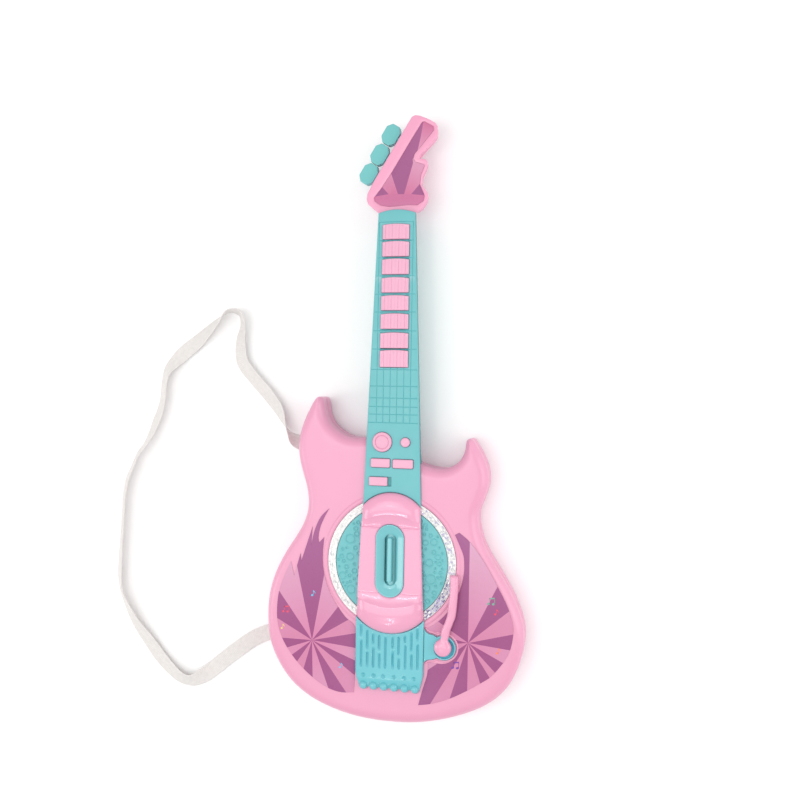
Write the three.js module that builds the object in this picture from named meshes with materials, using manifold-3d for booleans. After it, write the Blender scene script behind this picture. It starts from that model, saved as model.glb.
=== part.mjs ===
// Toy electric guitar, lying on its back. Millimetres, +Z up, +Y towards the headstock.
import * as THREE from 'three';
import { mergeVertices } from 'three/addons/utils/BufferGeometryUtils.js';
import Module from 'manifold-3d';

const wasm = await Module();
wasm.setup();

// ---------- driving dimensions ----------
const GAP = 0.3;            // running gap between neighbouring pieces
const FACE_Z = 34;          // front face of the body
const SPLIT_Z = 16;         // parting plane of the two body halves
const WALL = 2.6;           // body wall
const PLATE_TOP = 37.5;     // top of the fretboard and tail plate
const PLATE_UNDER = 34.4;   // their underside on the body
const NECK_BACK_Z = 15;
const NUT_Y = 190.8, NUT_RISE = 3;
const HALF_W = (y) => 24.3 - 0.0375 * y;      // half width of the tapering neck column
const RING_Y = -128.1, RING_R = 60, RING_RI = 52.75, DISC_R = 52.3;
const HEAD_TOP = 32, HEAD_SPLIT = 23.4, HEAD_BACK = 15.5;
const KEY_TRAVEL = 1.5;
const MEMBRANE_TOP = 29.9;
const COVER = { x0: 27.0, y0: -76.8, apex0: -63.8, x1: 31.4, y1: -178, apex1: -192.2, under: 35.6, top: 41.8, lobe: 44.6 };
const DISH = { hx: 13.1, y0: -92.4, y1: -158.6, under: 35.6, top: 41.4, slot: 5.3, s0: -101.4, s1: -148.4 };
const LEVER = { hx: 2.85, y0: -103.4, y1: -145.8, axisZ: 28.5, top: 43.6 };
const WHAMMY = { x: 49.8, y: -201.2, r: 7.9 };
const PEG = { centres: [[-9.0, 264.6], [-19.4, 246.9], [-29.4, 229.4]], along: 7.5, across: 9.7, thick: 7.6 };
const BAY = { x: 24.8, y0: -245.3, y1: -185.7, door: -175.6, roof: 18 };
const SCREWS = [[-74, -3], [74, -45], [-98, -170], [100, -185], [0, -261]];
const STRAP_HALF_W = 7.5, STRAP_HALF_T = 0.6;

// outline of the body, counter-clockwise from the neck: left horn, lower bout, right horn
const BODY = [
  [-24.5, -15.2], [-36, -15.3], [-46, -13.9], [-54.5, -9.6], [-61.5, -4], [-65.8, 2.5], [-68.2, 10.5], [-69.3, 17.5], [-71.3, 21.6], [-74.3, 22.3], [-77.6, 19.6],
  [-83.6, 8.5], [-88.6, -3], [-91.8, -15], [-92.7, -27], [-91.2, -38.5], [-88, -50], [-84.3, -62], [-82.3, -75], [-83.4, -87], [-88, -99.5], [-95.2, -111.5], [-103, -123.6],
  [-110, -136.5], [-115.9, -150.5], [-119.6, -165], [-121, -181], [-120.2, -198], [-117.1, -213.5], [-109.8, -229], [-99.4, -243.3], [-86.5, -254.6], [-70.2, -263.6], [-52, -270], [-34, -274],
  [-18.4, -275.7], [0, -276.2], [20, -275.2], [38, -272.2], [55, -267.6], [72, -261.2], [86.5, -253.8], [98.5, -244.8], [107.5, -234.6], [114.2, -222.4], [118.9, -208.6], [121, -194],
  [120.2, -181], [116.8, -169.5], [111, -156], [103.6, -142.8], [95.8, -130.4], [88, -118], [82, -106], [78.4, -92.5], [77.9, -80.5], [82.4, -67.5], [85.9, -56], [86.2, -45], [83.6, -35], [79.2, -25.6], [74.2, -17.6],
  [71.8, -14.2], [69.6, -13.2], [67.2, -14.3], [66.2, -18], [65.5, -23], [63.9, -28.3], [61, -33], [56.8, -37.1], [51, -40.1], [44, -41.5], [36, -41], [29, -39.3], [22.5, -37.2]];
const HEAD = [
  [-23.7, 220.7], [-29.2, 210], [-29.9, 204.8], [-28.4, 200.2], [-19.5, 192.6], [-17.5, 184], [19, 184], [20.6, 192.2], [26.9, 201.8], [27.9, 206.9], [26.8, 210.1], [22.3, 216.4], [23.6, 224.8], [27.4, 233.6], [27.5, 237.4],
  [25.6, 240], [20.4, 240.8], [34, 257.4], [35.6, 261.1], [35.5, 268.8], [33.6, 271.9], [27.9, 275.5], [19.4, 279.2], [14.8, 280.2], [11.4, 278.8]];
const HEAD_LABEL = [
  [21.4, 273.3], [14.5, 262.6], [-6.8, 227.8], [-15, 215.6], [-20.1, 209], [-22.7, 205.9], [-22, 202.8], [-16.6, 198.9], [-8.1, 197.3], [8.4, 198.6], [18, 198.2], [23.6, 201.9], [24.6, 206.3], [23.6, 208.9],
  [20.1, 216.8], [21, 225.6], [24.3, 233.6], [15.4, 237.4], [13.4, 240.6], [14.6, 244.8], [17.6, 248.2], [32.2, 265.5], [31.8, 268.9], [23.4, 273.6]];
const LABEL_L = [
  [-59.9, -81.1], [-64.2, -89], [-68.3, -98.8], [-70, -108.4], [-69.3, -113.6], [-64.4, -108.1], [-65.5, -121.2], [-65.2, -134], [-63.6, -143.5], [-60.2, -154.2], [-55.4, -163.8], [-49.6, -172.6], [-42.4, -181.4], [-33.4, -189.6], [-33.4, -250.2],
  [-45.3, -251.2], [-55.2, -249.4], [-65.2, -245], [-77.8, -236.4], [-90.6, -224.5], [-100.9, -210.9], [-106.2, -200.4], [-109, -190], [-109.7, -177.9], [-108.1, -162.1], [-103.3, -147.3], [-96.6, -132.5], [-93.2, -145.3],
  [-91.4, -139], [-87.2, -124.2], [-86.4, -131.5], [-81.1, -114.9], [-75.8, -98.5], [-77, -116.2], [-73.9, -102.4], [-67.9, -89.2]];
const LABEL_R = [
  [62.3, -97.5], [58.6, -99.7], [63.1, -109.6], [66.5, -117.9], [67.4, -126], [66.8, -137], [64.2, -148], [60.6, -157.4], [55.6, -165.8], [51.6, -171.4], [45.5, -177.9], [39.8, -182.4], [34.4, -186],
  [36.2, -188.6], [46.2, -188.6], [54.9, -190.2], [61, -194.8], [63, -203.4], [60.2, -211], [51.6, -216.6], [36, -216.6], [35.2, -228.1], [31.6, -240.3], [27.4, -256.4], [40.9, -253.7], [57, -247.4], [72.9, -238.6],
  [84.5, -231.1], [92.8, -225.1], [105.2, -209.3], [110.2, -198.3], [112.5, -182.4], [111.9, -177.2], [107.5, -162.8], [96.6, -142], [86.8, -125.2], [78, -112.5], [70.5, -103.9]];
// centre line of the strap on the floor and the tilt of its width, 0 flat, 90 on edge
const STRAP = [
  [-88.2, -24, 0], [-93, -23.4, 5], [-100.3, -21.9, 11], [-106.3, -16.5, 61], [-112, -9.4, 85], [-121.7, 8.4, 128], [-134.9, 24.7, 140], [-148.9, 39.5, 140], [-161.1, 55.5, 141], [-162.7, 75.5, 126], [-160.8, 85.4, 112], [-160.3, 95.4, 104],
  [-162.7, 102, 108], [-169.2, 104.5, 108], [-175.9, 103.5, 104], [-185.5, 95.4, 76], [-194.5, 87.4, 59], [-208.4, 75.4, 34], [-224.5, 63.2, 22], [-234.1, 53.6, 43], [-240.1, 46, 61], [-243.5, 33, 70], [-244.6, 18.8, 70], [-247.6, 5.5, 66],
  [-252.5, -6.9, 63], [-257.6, -19.2, 70], [-264.2, -30.8, 80], [-271.2, -40, 81], [-277, -53, 81], [-282.5, -66, 78], [-285.5, -80, 81], [-286.6, -100, 81], [-287.8, -123, 81], [-289.2, -146.9, 78], [-289.4, -165, 78],
  [-287.2, -178.8, 86], [-282.5, -190, 78], [-277, -201, 70], [-269.9, -212.7, 59], [-258.9, -226.4, 45], [-247.1, -241.1, 37], [-234.8, -253, 43], [-222.4, -261.7, 50], [-210.4, -264.1, 50], [-200.5, -260.4, 31],
  [-190, -252.5, 4], [-177.5, -242, 0], [-160.3, -228.2, 0], [-145.6, -217.6, 0], [-133, -211.4, 0], [-122, -208.6, 0], [-115, -207.4, 0]];

// ---------- solids ----------
const area = (p) => p.reduce((s, a, i) => { const b = p[(i + 1) % p.length]; return s + a[0] * b[1] - b[0] * a[1]; }, 0) / 2;
const ccw = (p) => (area(p) > 0 ? p : [...p].reverse());

function spline(points, n) {
  const c = new THREE.CatmullRomCurve3(points.map(([x, y]) => new THREE.Vector3(x, y, 0)), true, 'centripetal');
  const out = [];
  for (let i = 0; i < points.length * n; i++) {
    const v = c.getPoint(i / (points.length * n));
    out.push([v.x, v.y]);
  }
  return ccw(out);
}

const distTo = (p, x, y) => {
  let best = Infinity;
  for (let i = 0; i < p.length; i++) {
    const [ax, ay] = p[i], [bx, by] = p[(i + 1) % p.length];
    const l2 = (bx - ax) ** 2 + (by - ay) ** 2 || 1e-9;
    const t = Math.max(0, Math.min(1, ((x - ax) * (bx - ax) + (y - ay) * (by - ay)) / l2));
    best = Math.min(best, Math.hypot(x - ax - t * (bx - ax), y - ay - t * (by - ay)));
  }
  return best;
};
// the outline moved inwards by d, and by less where it is too narrow for that
function inset(p, d) {
  const n = p.length;
  return p.map((v, i) => {
    const a = p[(i + n - 1) % n], b = p[(i + 1) % n];
    const e0 = new THREE.Vector2(v[0] - a[0], v[1] - a[1]).normalize();
    const e1 = new THREE.Vector2(b[0] - v[0], b[1] - v[1]).normalize();
    const m = new THREE.Vector2(-e0.y - e1.y, e0.x + e1.x).normalize();
    const k = Math.min(1 / Math.max(0.35, m.x * -e0.y + m.y * e0.x), 1.8);
    const at = (s) => [v[0] + m.x * s * k, v[1] + m.y * s * k];
    if (d <= 0 || distTo(p, ...at(d)) > 0.93 * d) return at(d);
    let s = d;
    while (s > 0.1 && distTo(p, ...at(s)) < 0.9 * s) s *= 0.93;
    return at(0.55 * s);
  });
}
// the outline of a hollow d inside p, without the places too narrow for it
function hollow(p, d) {
  return inset(p, d).filter(([x, y]) => distTo(p, x, y) > 0.93 * d);
}

// a closed solid through layers of outlines with the same number of points
function loft(layers) {
  const n = layers[0].p.length, pos = [], idx = [];
  layers.forEach(({ p, z }) => p.forEach((v) => pos.push(v[0], v[1], v.length > 2 ? v[2] : z)));
  for (let l = 0; l < layers.length - 1; l++) {
    for (let i = 0; i < n; i++) {
      const j = (i + 1) % n, a = l * n + i, b = l * n + j, c = a + n, d = b + n;
      idx.push(a, b, d, a, d, c);
    }
  }
  const cap = (l, up) => {
    const p = layers[l].p.map((v) => new THREE.Vector2(v[0], v[1]));
    THREE.ShapeUtils.triangulateShape(p, []).forEach(([a, b, c]) => (up ? idx.push(l * n + a, l * n + b, l * n + c) : idx.push(l * n + a, l * n + c, l * n + b)));
  };
  cap(0, false);
  cap(layers.length - 1, true);
  const g = new THREE.BufferGeometry();
  g.setAttribute('position', new THREE.Float32BufferAttribute(pos, 3));
  g.setIndex(idx);
  return g;
}
const prism = (p, z0, z1) => loft([{ p: ccw(p), z: z0 }, { p: ccw(p), z: z1 }]);
// a prism whose top edge is rounded in two steps
const pillow = (p, z0, z1, r, h = r) => {
  const q = ccw(p);
  return loft([{ p: q, z: z0 }, { p: q, z: z1 - h }, { p: inset(q, r * 0.3), z: z1 - h * 0.35 }, { p: inset(q, r), z: z1 }]);
};
const box = (x0, x1, y0, y1, z0, z1) => new THREE.BoxGeometry(x1 - x0, y1 - y0, z1 - z0).translate((x0 + x1) / 2, (y0 + y1) / 2, (z0 + z1) / 2);
const cyl = (x, y, r, z0, z1, seg = 20, r2 = r) => new THREE.CylinderGeometry(r2, r, z1 - z0, seg).rotateX(Math.PI / 2).translate(x, y, (z0 + z1) / 2);
const rod = (x, z, r, y0, y1, seg = 16) => new THREE.CylinderGeometry(r, r, y1 - y0, seg).translate(x, (y0 + y1) / 2, z);
const lathe = (prof, seg = 24) => new THREE.LatheGeometry(prof.map(([r, z]) => new THREE.Vector2(r, z)), seg).rotateX(Math.PI / 2);
const ring = (x, y, r0, r1, z0, z1, seg = 48) => lathe([[r0, z0], [r1, z0], [r1, z1], [r0, z1], [r0, z0]], seg).translate(x, y, 0);
function stadium(hx, y0, y1, seg = 8, cx = 0) {
  const p = [];
  for (let i = 0; i <= seg; i++) { const a = Math.PI * i / seg; p.push([cx + hx * Math.cos(a), Math.max(y0, y1) - hx + hx * Math.sin(a)]); }
  for (let i = 0; i <= seg; i++) { const a = Math.PI + Math.PI * i / seg; p.push([cx + hx * Math.cos(a), Math.min(y0, y1) + hx + hx * Math.sin(a)]); }
  return ccw(p);
}
function roundRect(x0, x1, y0, y1, r, seg = 3) {
  const p = [], c = [[x1 - r, y1 - r, 0], [x0 + r, y1 - r, 90], [x0 + r, y0 + r, 180], [x1 - r, y0 + r, 270]];
  for (const [x, y, a0] of c) for (let i = 0; i <= seg; i++) { const a = THREE.MathUtils.degToRad(a0 + 90 * i / seg); p.push([x + r * Math.cos(a), y + r * Math.sin(a)]); }
  return p;
}

function solid(geo) {
  if (geo instanceof wasm.Manifold) return geo;
  const g = geo.clone();
  g.deleteAttribute('normal');
  g.deleteAttribute('uv');
  const m = mergeVertices(g, 1e-3);
  const idx = [];
  const t = m.index.array;
  for (let i = 0; i < t.length; i += 3) if (t[i] !== t[i + 1] && t[i + 1] !== t[i + 2] && t[i] !== t[i + 2]) idx.push(t[i], t[i + 1], t[i + 2]);
  return new wasm.Manifold(new wasm.Mesh({ numProp: 3, vertProperties: new Float32Array(m.attributes.position.array), triVerts: new Uint32Array(idx) }));
}
const cut = (a, ...b) => b.reduce((s, g) => s.subtract(solid(g)), solid(a));
const join = (a, ...b) => b.reduce((s, g) => s.add(solid(g)), solid(a));
const common = (a, b) => solid(a).intersect(solid(b));

const root = new THREE.Group();
root.position.set(0, -2, 0);
const PINK = 0xf6b6d6, PINK_DEEP = 0xf6a9cd, TEAL = 0x84cccf, TEAL_DEEP = 0x5fb4b8, PURPLE = 0xb06a98, STEEL = 0xb8babd, DARK = 0x3a3d40;
function add(name, shape, color, roughness = 0.35, metalness = 0) {
  let g = shape;
  if (shape instanceof wasm.Manifold) {
    const m = shape.getMesh();
    g = new THREE.BufferGeometry();
    g.setAttribute('position', new THREE.Float32BufferAttribute(m.vertProperties, 3));
    g.setIndex(Array.from(m.triVerts));
    g.computeVertexNormals();
  }
  const mesh = new THREE.Mesh(g, new THREE.MeshStandardMaterial({ color, roughness, metalness }));
  mesh.name = name;
  root.add(mesh);
  return mesh;
}

// ---------- body ----------
const body = spline(BODY, 1);
// the horn tips are solid
const inHorn = ([x, y]) => (x < -60 && y > 4) || (x > 60 && x < 82 && y > -26);
const pocket = (z0, z1) => prism(hollow(body, WALL + 0.3).filter((v) => !inHorn(v)), z0, z1);
const neckSlot = 22.3;

let front = loft([{ p: body, z: SPLIT_Z + 0.15 }, { p: body, z: 28.5 }, { p: inset(body, 1.1), z: 32.4 }, { p: inset(body, 2.3), z: FACE_Z }]);
front = cut(front, pocket(10, FACE_Z - WALL));
front = join(front, ...SCREWS.map(([x, y]) => cyl(x, y, 4, SPLIT_Z + 0.2, 32, 12)),
  box(-7, 7, -96.9, -94.4, 24.8, 32), box(-7, 7, -155.7, -153.2, 24.8, 32));
front = cut(front, ...SCREWS.map(([x, y]) => cyl(x, y, 1.9, 10, 28, 10)),
  box(-neckSlot, neckSlot, -61.5, 10, 10, 40),
  cyl(0, RING_Y, RING_R + GAP, 32.4, 40, 48),
  box(-12.5, 12.5, -153, -97, 30, 40),
  rod(0, LEVER.axisZ, 2.3, -158, -92, 12),
  cyl(WHAMMY.x, WHAMMY.y, 2.8, 30, 40, 14),
  ...Array.from({ length: 12 }, (_, i) => cyl(56.3 * Math.cos((i + 0.5) * Math.PI / 6), RING_Y + 56.3 * Math.sin((i + 0.5) * Math.PI / 6), 2.6, 30, 34, 8)),
  ...Array.from({ length: 7 }, (_, i) => (i ? cyl(-33 + 9 * Math.cos(i * Math.PI / 3), RING_Y + 9 * Math.sin(i * Math.PI / 3), 2.6, 30, 34, 8) : cyl(-33, RING_Y, 2.6, 30, 34, 8))));
add('body_front_shell', front, PINK);

let rear = loft([{ p: inset(body, 2.3), z: 0 }, { p: inset(body, 1.4), z: 1.2 }, { p: body, z: 4.6 }, { p: body, z: SPLIT_Z - 0.15 }]);
rear = cut(rear, pocket(2.5, 20));
rear = join(rear,
  ...SCREWS.map(([x, y]) => cyl(x, y, 4.6, 2, SPLIT_Z - 0.15, 12)),
  box(-26.5, 26.5, -247, -174, 2, 6), box(-26.5, 26.5, -247, -184, 2, BAY.roof + 1.7),
  cyl(0, -180.6, 3.6, 5, 11, 12),
  common(box(-100, -76.5, -37, -11, 2, 9), prism(inset(body, 0.8), 0, 20)),
  common(box(-125, -104, -220, -194, 2, 9), prism(inset(body, 0.8), 0, 20)));
rear = cut(rear,
  ...SCREWS.map(([x, y]) => cyl(x, y, 1.9, -2, 20, 10)), ...SCREWS.map(([x, y]) => cyl(x, y, 3.6, -2, 6, 14)),
  box(-BAY.x, BAY.x, BAY.y0, BAY.door, -2, 2.5), box(-BAY.x, BAY.x, BAY.y0, BAY.y1, -2, BAY.roof),
  cyl(0, -180.6, 1.7, 1, 10, 10),
  box(-110, -79.5, -34, -14, -2, 6.5), box(-135, -106, -217, -197, -2, 6.5),
  new THREE.CylinderGeometry(3.4, 3.4, 30, 14).rotateZ(Math.PI / 2).translate(112, -222, 9));
add('body_rear_shell', rear, PINK);
SCREWS.forEach(([x, y], i) => add(`case_screw_${i + 1}`, lathe([[0, 3.6], [3.1, 3.6], [3.1, 5.8], [1.5, 5.8], [1.5, 25.5], [0, 26.6]], 12).translate(x, y, 0), STEEL, 0.3, 1));

// microphone socket in the lower right edge
add('microphone_socket', lathe([[1.9, 0], [3, 0], [3, 12], [0, 12], [0, 10.4], [1.9, 10.4], [1.9, 0]], 14).rotateX(-Math.PI / 2).rotateZ(Math.PI / 2).translate(112.6, -222, 9), DARK, 0.5);

// ---------- neck ----------
const nutArc = (y, rise, n = 8) => Array.from({ length: n + 1 }, (_, i) => { const t = 1 - 2 * i / n; return [HALF_W(y) * t, y + rise * (1 - t * t)]; });
const coverArc = (x, y, apex, n = 12) => { const s = Math.abs(apex - y), R = (x * x + s * s) / (2 * s), dir = Math.sign(apex - y); return Array.from({ length: n + 1 }, (_, i) => { const u = x * (-1 + 2 * i / n); return [u, apex - dir * (R - Math.sqrt(R * R - u * u))]; }); };
const boardOutline = (d = 0) => ccw([...nutArc(NUT_Y + d, NUT_RISE), ...coverArc(HALF_W(-76.5) - 0.05, -76.5 - d, COVER.apex0 + GAP).map(([x, y]) => [x, y])].map(([x, y]) => [x + Math.sign(x) * d, y]));
const wedge = (y0, y1, d, rise = 0) => ccw([...nutArc(y1, rise, rise ? 8 : 1).map(([x, y]) => [x + Math.sign(x) * d, y]), [-HALF_W(y0) - d, y0], [HALF_W(y0) + d, y0]]);
const bodySolid = prism(inset(body, -GAP), -5, 60);
const keyBox = Array.from({ length: 8 }, (_, i) => {
  const y = [[180.2, 166.9], [164.5, 151.2], [148.7, 135.0], [131.8, 118.4], [115.5, 102.3], [99.0, 85.4], [81.7, 67.9], [65.8, 50.6]][i];
  return { hx: 12.3 + 0.13 * i, y0: y[1], y1: y[0] };
});
const CONTROLS = [
  { name: 'button_round_large', p: Array.from({ length: 24 }, (_, i) => [-9.6 + 9 * Math.cos(i * Math.PI / 12), -17.9 + 9 * Math.sin(i * Math.PI / 12)]), top: 39.6, r: 1.2 },
  { name: 'button_round_small', p: Array.from({ length: 16 }, (_, i) => [12 + 4.3 * Math.cos(i * Math.PI / 8), -17.7 + 4.3 * Math.sin(i * Math.PI / 8)]), top: 39.2, r: 0.9 },
  { name: 'button_rect_left', p: roundRect(-19.9, -2.0, -41.1, -33.0, 1.4), top: 39.2, r: 0.8 },
  { name: 'button_rect_right', p: roundRect(0.6, 19.4, -41.4, -33.3, 1.4), top: 39.2, r: 0.8 }];
const crown = (hw, z0, y0, y1, sag, n = 8) => { // a bar across the neck with an arched top
  const s = [[hw, z0[0]]];
  for (let i = 0; i <= n; i++) { const t = 1 - 2 * i / n; s.push([hw * t, z0[1] - sag * t * t]); }
  s.push([-hw, z0[0]]);
  const shape = new THREE.Shape(s.map(([x, z]) => new THREE.Vector2(x, z)));
  return new THREE.ExtrudeGeometry(shape, { depth: y1 - y0, bevelEnabled: false }).rotateX(Math.PI / 2).translate(0, y1, 0);
};

let board = join(pillow(boardOutline(), PLATE_UNDER, PLATE_TOP, 1.2, 1.2), prism(wedge(-40, NUT_Y, 0, NUT_RISE), 24.2, PLATE_UNDER + 0.6));
board = cut(board, cut(prism(wedge(-60, NUT_Y - 2.2, -2.2), 20, PLATE_UNDER), box(-30, 30, -80, -44, 0, 60)));
board = cut(board, cut(bodySolid, box(-200, 200, -400, 400, PLATE_UNDER - 0.05, 90)));
board = cut(board, cyl(0, RING_Y, RING_R + GAP, 30, COVER.under, 48),
  ...keyBox.map((k) => box(-k.hx - 0.35, k.hx + 0.35, k.y0 - 0.35, k.y1 + 0.35, 33, 40)),
  ...CONTROLS.map((c) => prism(inset(ccw(c.p), -0.35), 33, 40)),
  box(-21.6, -0.4, -58.2, -49.5, 33, 40));
add('neck_fretboard', board, TEAL, 0.45);

const trough = (y0, y1, w, z0, z1, b) => loft([{ p: inset(wedge(y0, y1, -w, NUT_RISE), b), z: z0 }, { p: inset(wedge(y0, y1, -w, NUT_RISE), b * 0.3), z: z0 + b * 0.6 }, { p: wedge(y0, y1, -w, NUT_RISE), z: z0 + b * 1.5 }, { p: wedge(y0, y1, -w, NUT_RISE), z: z1 }]);
let neck = cut(trough(-45, NUT_Y, 0, NECK_BACK_Z, 23.9, 4), prism(wedge(-60, NUT_Y - 2.4, -2.4), 18, 30), bodySolid);
neck = cut(neck, box(-60, 60, -80, -44, 0, 60));
neck = join(neck, cut(prism(wedge(-58, -4, -4.6), 16.6, 24), common(prism(wedge(-60, 30, -7.2), 18.6, 30), box(-50, 50, -55, 30, 0, 60))));
add('neck_rear', neck, TEAL_DEEP, 0.5);

keyBox.forEach((k, i) => {
  const key = join(crown(k.hx, [32, 39.3], k.y0, k.y1, 0.7), box(-k.hx - 0.9, k.hx + 0.9, k.y0 - 0.7, k.y1 + 0.7, 31.7, 33.6), box(-3, 3, (k.y0 + k.y1) / 2 - 3, (k.y0 + k.y1) / 2 + 3, 31.6, 32));
  add(`fret_key_${i + 1}`, key, PINK_DEEP, 0.4);
});
add('fret_key_membrane', join(box(-14.2, 14.2, 48, 183, 27.7, 28.6), ...keyBox.map((k) => cyl(0, (k.y0 + k.y1) / 2, 4, 28.2, MEMBRANE_TOP, 12, 3))), 0xd9d6cf, 0.8);
add('fret_key_board', box(-14.2, 14.2, 46, 184, 25.8, 27.4), 0x2f7a4b, 0.6);

CONTROLS.forEach((c) => add(c.name, join(pillow(c.p, 31.8, c.top, c.r), prism(inset(ccw(c.p), -0.9), 31.7, 33.6)), PINK_DEEP, 0.4));
add('slide_switch_knob', join(pillow(roundRect(-21.2, -4.2, -57.8, -49.9, 1), 32, 39, 0.7), box(-20.9, -4.6, -58.8, -48.9, 31.7, 33.6)), PINK_DEEP, 0.4);
add('control_membrane', join(box(-21, 21, -48.2, -9, 27.7, 28.6), cyl(-9.6, -17.9, 5, 28.2, MEMBRANE_TOP, 12, 4), cyl(12, -17.7, 3, 28.2, MEMBRANE_TOP, 12, 2.4), cyl(-11, -37, 3.4, 28.2, MEMBRANE_TOP, 12, 2.6), cyl(10, -37.3, 3.4, 28.2, MEMBRANE_TOP, 12, 2.6)), 0xd9d6cf, 0.8);
add('main_board', box(-21, 21, -60.5, -8, 25.8, 27.4), 0x2f7a4b, 0.6);
add('slide_switch_body', join(box(-19, -6, -57.5, -50.5, 27.7, 30.6), box(-16.5, -13.5, -55, -53, 30.4, 31.2)), DARK, 0.5);

// ---------- headstock ----------
const headOutline = ccw(HEAD);
const neckClear = prism(wedge(150, NUT_Y + GAP, GAP, NUT_RISE), 0, 60);
const pegDir = new THREE.Vector2(-0.856, 0.517).normalize();
const pegTool = (r, u0, u1, seg = 14) => PEG.centres.map(([x, y]) => new THREE.CylinderGeometry(r, r, u1 - u0, seg).rotateZ(-Math.PI / 2).translate((u0 + u1) / 2, 0, 0).rotateZ(Math.atan2(pegDir.y, pegDir.x)).translate(x, y, HEAD_SPLIT));
let headFront = loft([{ p: headOutline, z: HEAD_SPLIT + 0.15 }, { p: headOutline, z: 30.2 }, { p: inset(headOutline, 0.9), z: HEAD_TOP }]);
headFront = cut(headFront, prism(hollow(headOutline, 2.6), 20, 28.6), neckClear, prism(inset(ccw(HEAD_LABEL), -GAP), 31, 40), ...pegTool(2.85, -22, 0));
add('head_front_shell', headFront, PINK);
let headRear = loft([{ p: inset(headOutline, 2.2), z: HEAD_BACK }, { p: inset(headOutline, 0.8), z: HEAD_BACK + 0.8 }, { p: headOutline, z: HEAD_BACK + 3 }, { p: headOutline, z: HEAD_SPLIT - 0.15 }]);
headRear = cut(headRear, prism(hollow(headOutline, 2.6), 18, 30), neckClear, ...pegTool(2.85, -22, 0));
add('head_rear_shell', headRear, PINK);
add('head_label', prism(HEAD_LABEL, 31.2, 31.7), PURPLE, 0.35);
const knob = roundRect(-PEG.along, PEG.along, -PEG.across, PEG.across, 5, 2);
PEG.centres.forEach(([x, y], i) => {
  const k = loft([{ p: inset(ccw(knob), 2.6), z: -PEG.thick / 2 }, { p: ccw(knob), z: -PEG.thick / 2 + 2.6 }, { p: ccw(knob), z: PEG.thick / 2 - 2.6 }, { p: inset(ccw(knob), 2.6), z: PEG.thick / 2 }]);
  const stem = new THREE.CylinderGeometry(2.5, 2.5, 13, 14).rotateZ(-Math.PI / 2).translate(-12.5, 0, 0);
  const flange = new THREE.CylinderGeometry(3.9, 3.9, 1.4, 14).rotateZ(-Math.PI / 2).translate(-14.4, 0, 0);
  const shape = join(k, stem, flange);
  const m = shape.rotate([0, 0, THREE.MathUtils.radToDeg(Math.atan2(pegDir.y, pegDir.x))]).translate([x, y, HEAD_SPLIT]);
  add(`tuning_peg_${i + 1}`, m, TEAL, 0.35);
});

// ---------- front trim ----------
add('body_label_left', prism(LABEL_L, 34.1, 34.4), PURPLE, 0.3);
add('body_label_right', prism(LABEL_R, 34.1, 34.4), PURPLE, 0.3);
add('light_ring', lathe([[RING_RI, 32.7], [RING_R, 32.7], [RING_R, 34.6], [RING_R - 1.2, 35.2], [RING_RI + 1.0, 35.2], [RING_RI, 34.6], [RING_RI, 32.7]], 48).translate(0, RING_Y, 0), 0xf4f6f8, 0.15);
add('sound_disc', cut(cyl(0, RING_Y, DISC_R, 32.7, 34.9, 48), box(-12.5, 12.5, -153, -97, 30, 40)), TEAL, 0.5);
add('led_board', ring(0, RING_Y, 51.5, 59.5, 27.4, 29, 32), 0x2f7a4b, 0.6);

const coverOutline = (d = 0) => ccw([...coverArc(COVER.x0 - d, COVER.y0, COVER.apex0 - d), ...coverArc(COVER.x1 - d, COVER.y1, COVER.apex1 + d).reverse()]);
let cover = pillow(coverOutline(), COVER.under, COVER.top, 2.2, 2.6);
const lobe = (top) => {
  const y0 = top ? COVER.y0 : COVER.y1, apex = top ? COVER.apex0 : COVER.apex1, x = top ? COVER.x0 : COVER.x1, s = top ? -1 : 1;
  const p = ccw([...coverArc(x - 1.4, y0, apex + s * 1.4), ...coverArc(x - 1.8, y0 + s * 15, y0 + s * 8, 8).reverse()]);
  return loft([{ p, z: 38 }, { p: inset(p, 0.6), z: 42 }, { p: inset(p, 4), z: COVER.lobe }]);
};
cover = join(cover, lobe(true), lobe(false));
cover = cut(cover, prism(inset(coverOutline(), 2.4), 30, 39.2), prism(stadium(DISH.hx + GAP, DISH.y0 + GAP, DISH.y1 - GAP), 30, 60));
add('pickup_cover', cover, PINK_DEEP, 0.25);

const dishP = stadium(DISH.hx, DISH.y0, DISH.y1);
let dish = cut(loft([{ p: dishP, z: DISH.under }, { p: dishP, z: DISH.top - 0.6 }, { p: inset(dishP, 0.5), z: DISH.top }]),
  loft([{ p: inset(dishP, 6.4), z: 38.2 }, { p: inset(dishP, 2.2), z: 40.2 }, { p: inset(dishP, 1.4), z: 45 }]),
  prism(stadium(DISH.slot, DISH.s0, DISH.s1, 6), 30, 50));
add('strum_dish', dish, TEAL, 0.35);

let lever = join(rod(0, LEVER.axisZ, 4.2, -149.6, -100.4, 16), pillow(stadium(LEVER.hx, LEVER.y0, LEVER.y1, 6), LEVER.axisZ, LEVER.top, 0.8));
add('strum_lever', cut(lever, rod(0, LEVER.axisZ, 2.3, -160, -90, 12)), TEAL, 0.35);
add('strum_axle', rod(0, LEVER.axisZ, 1.95, -156.6, -93.4, 12), STEEL, 0.3, 1);

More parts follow.
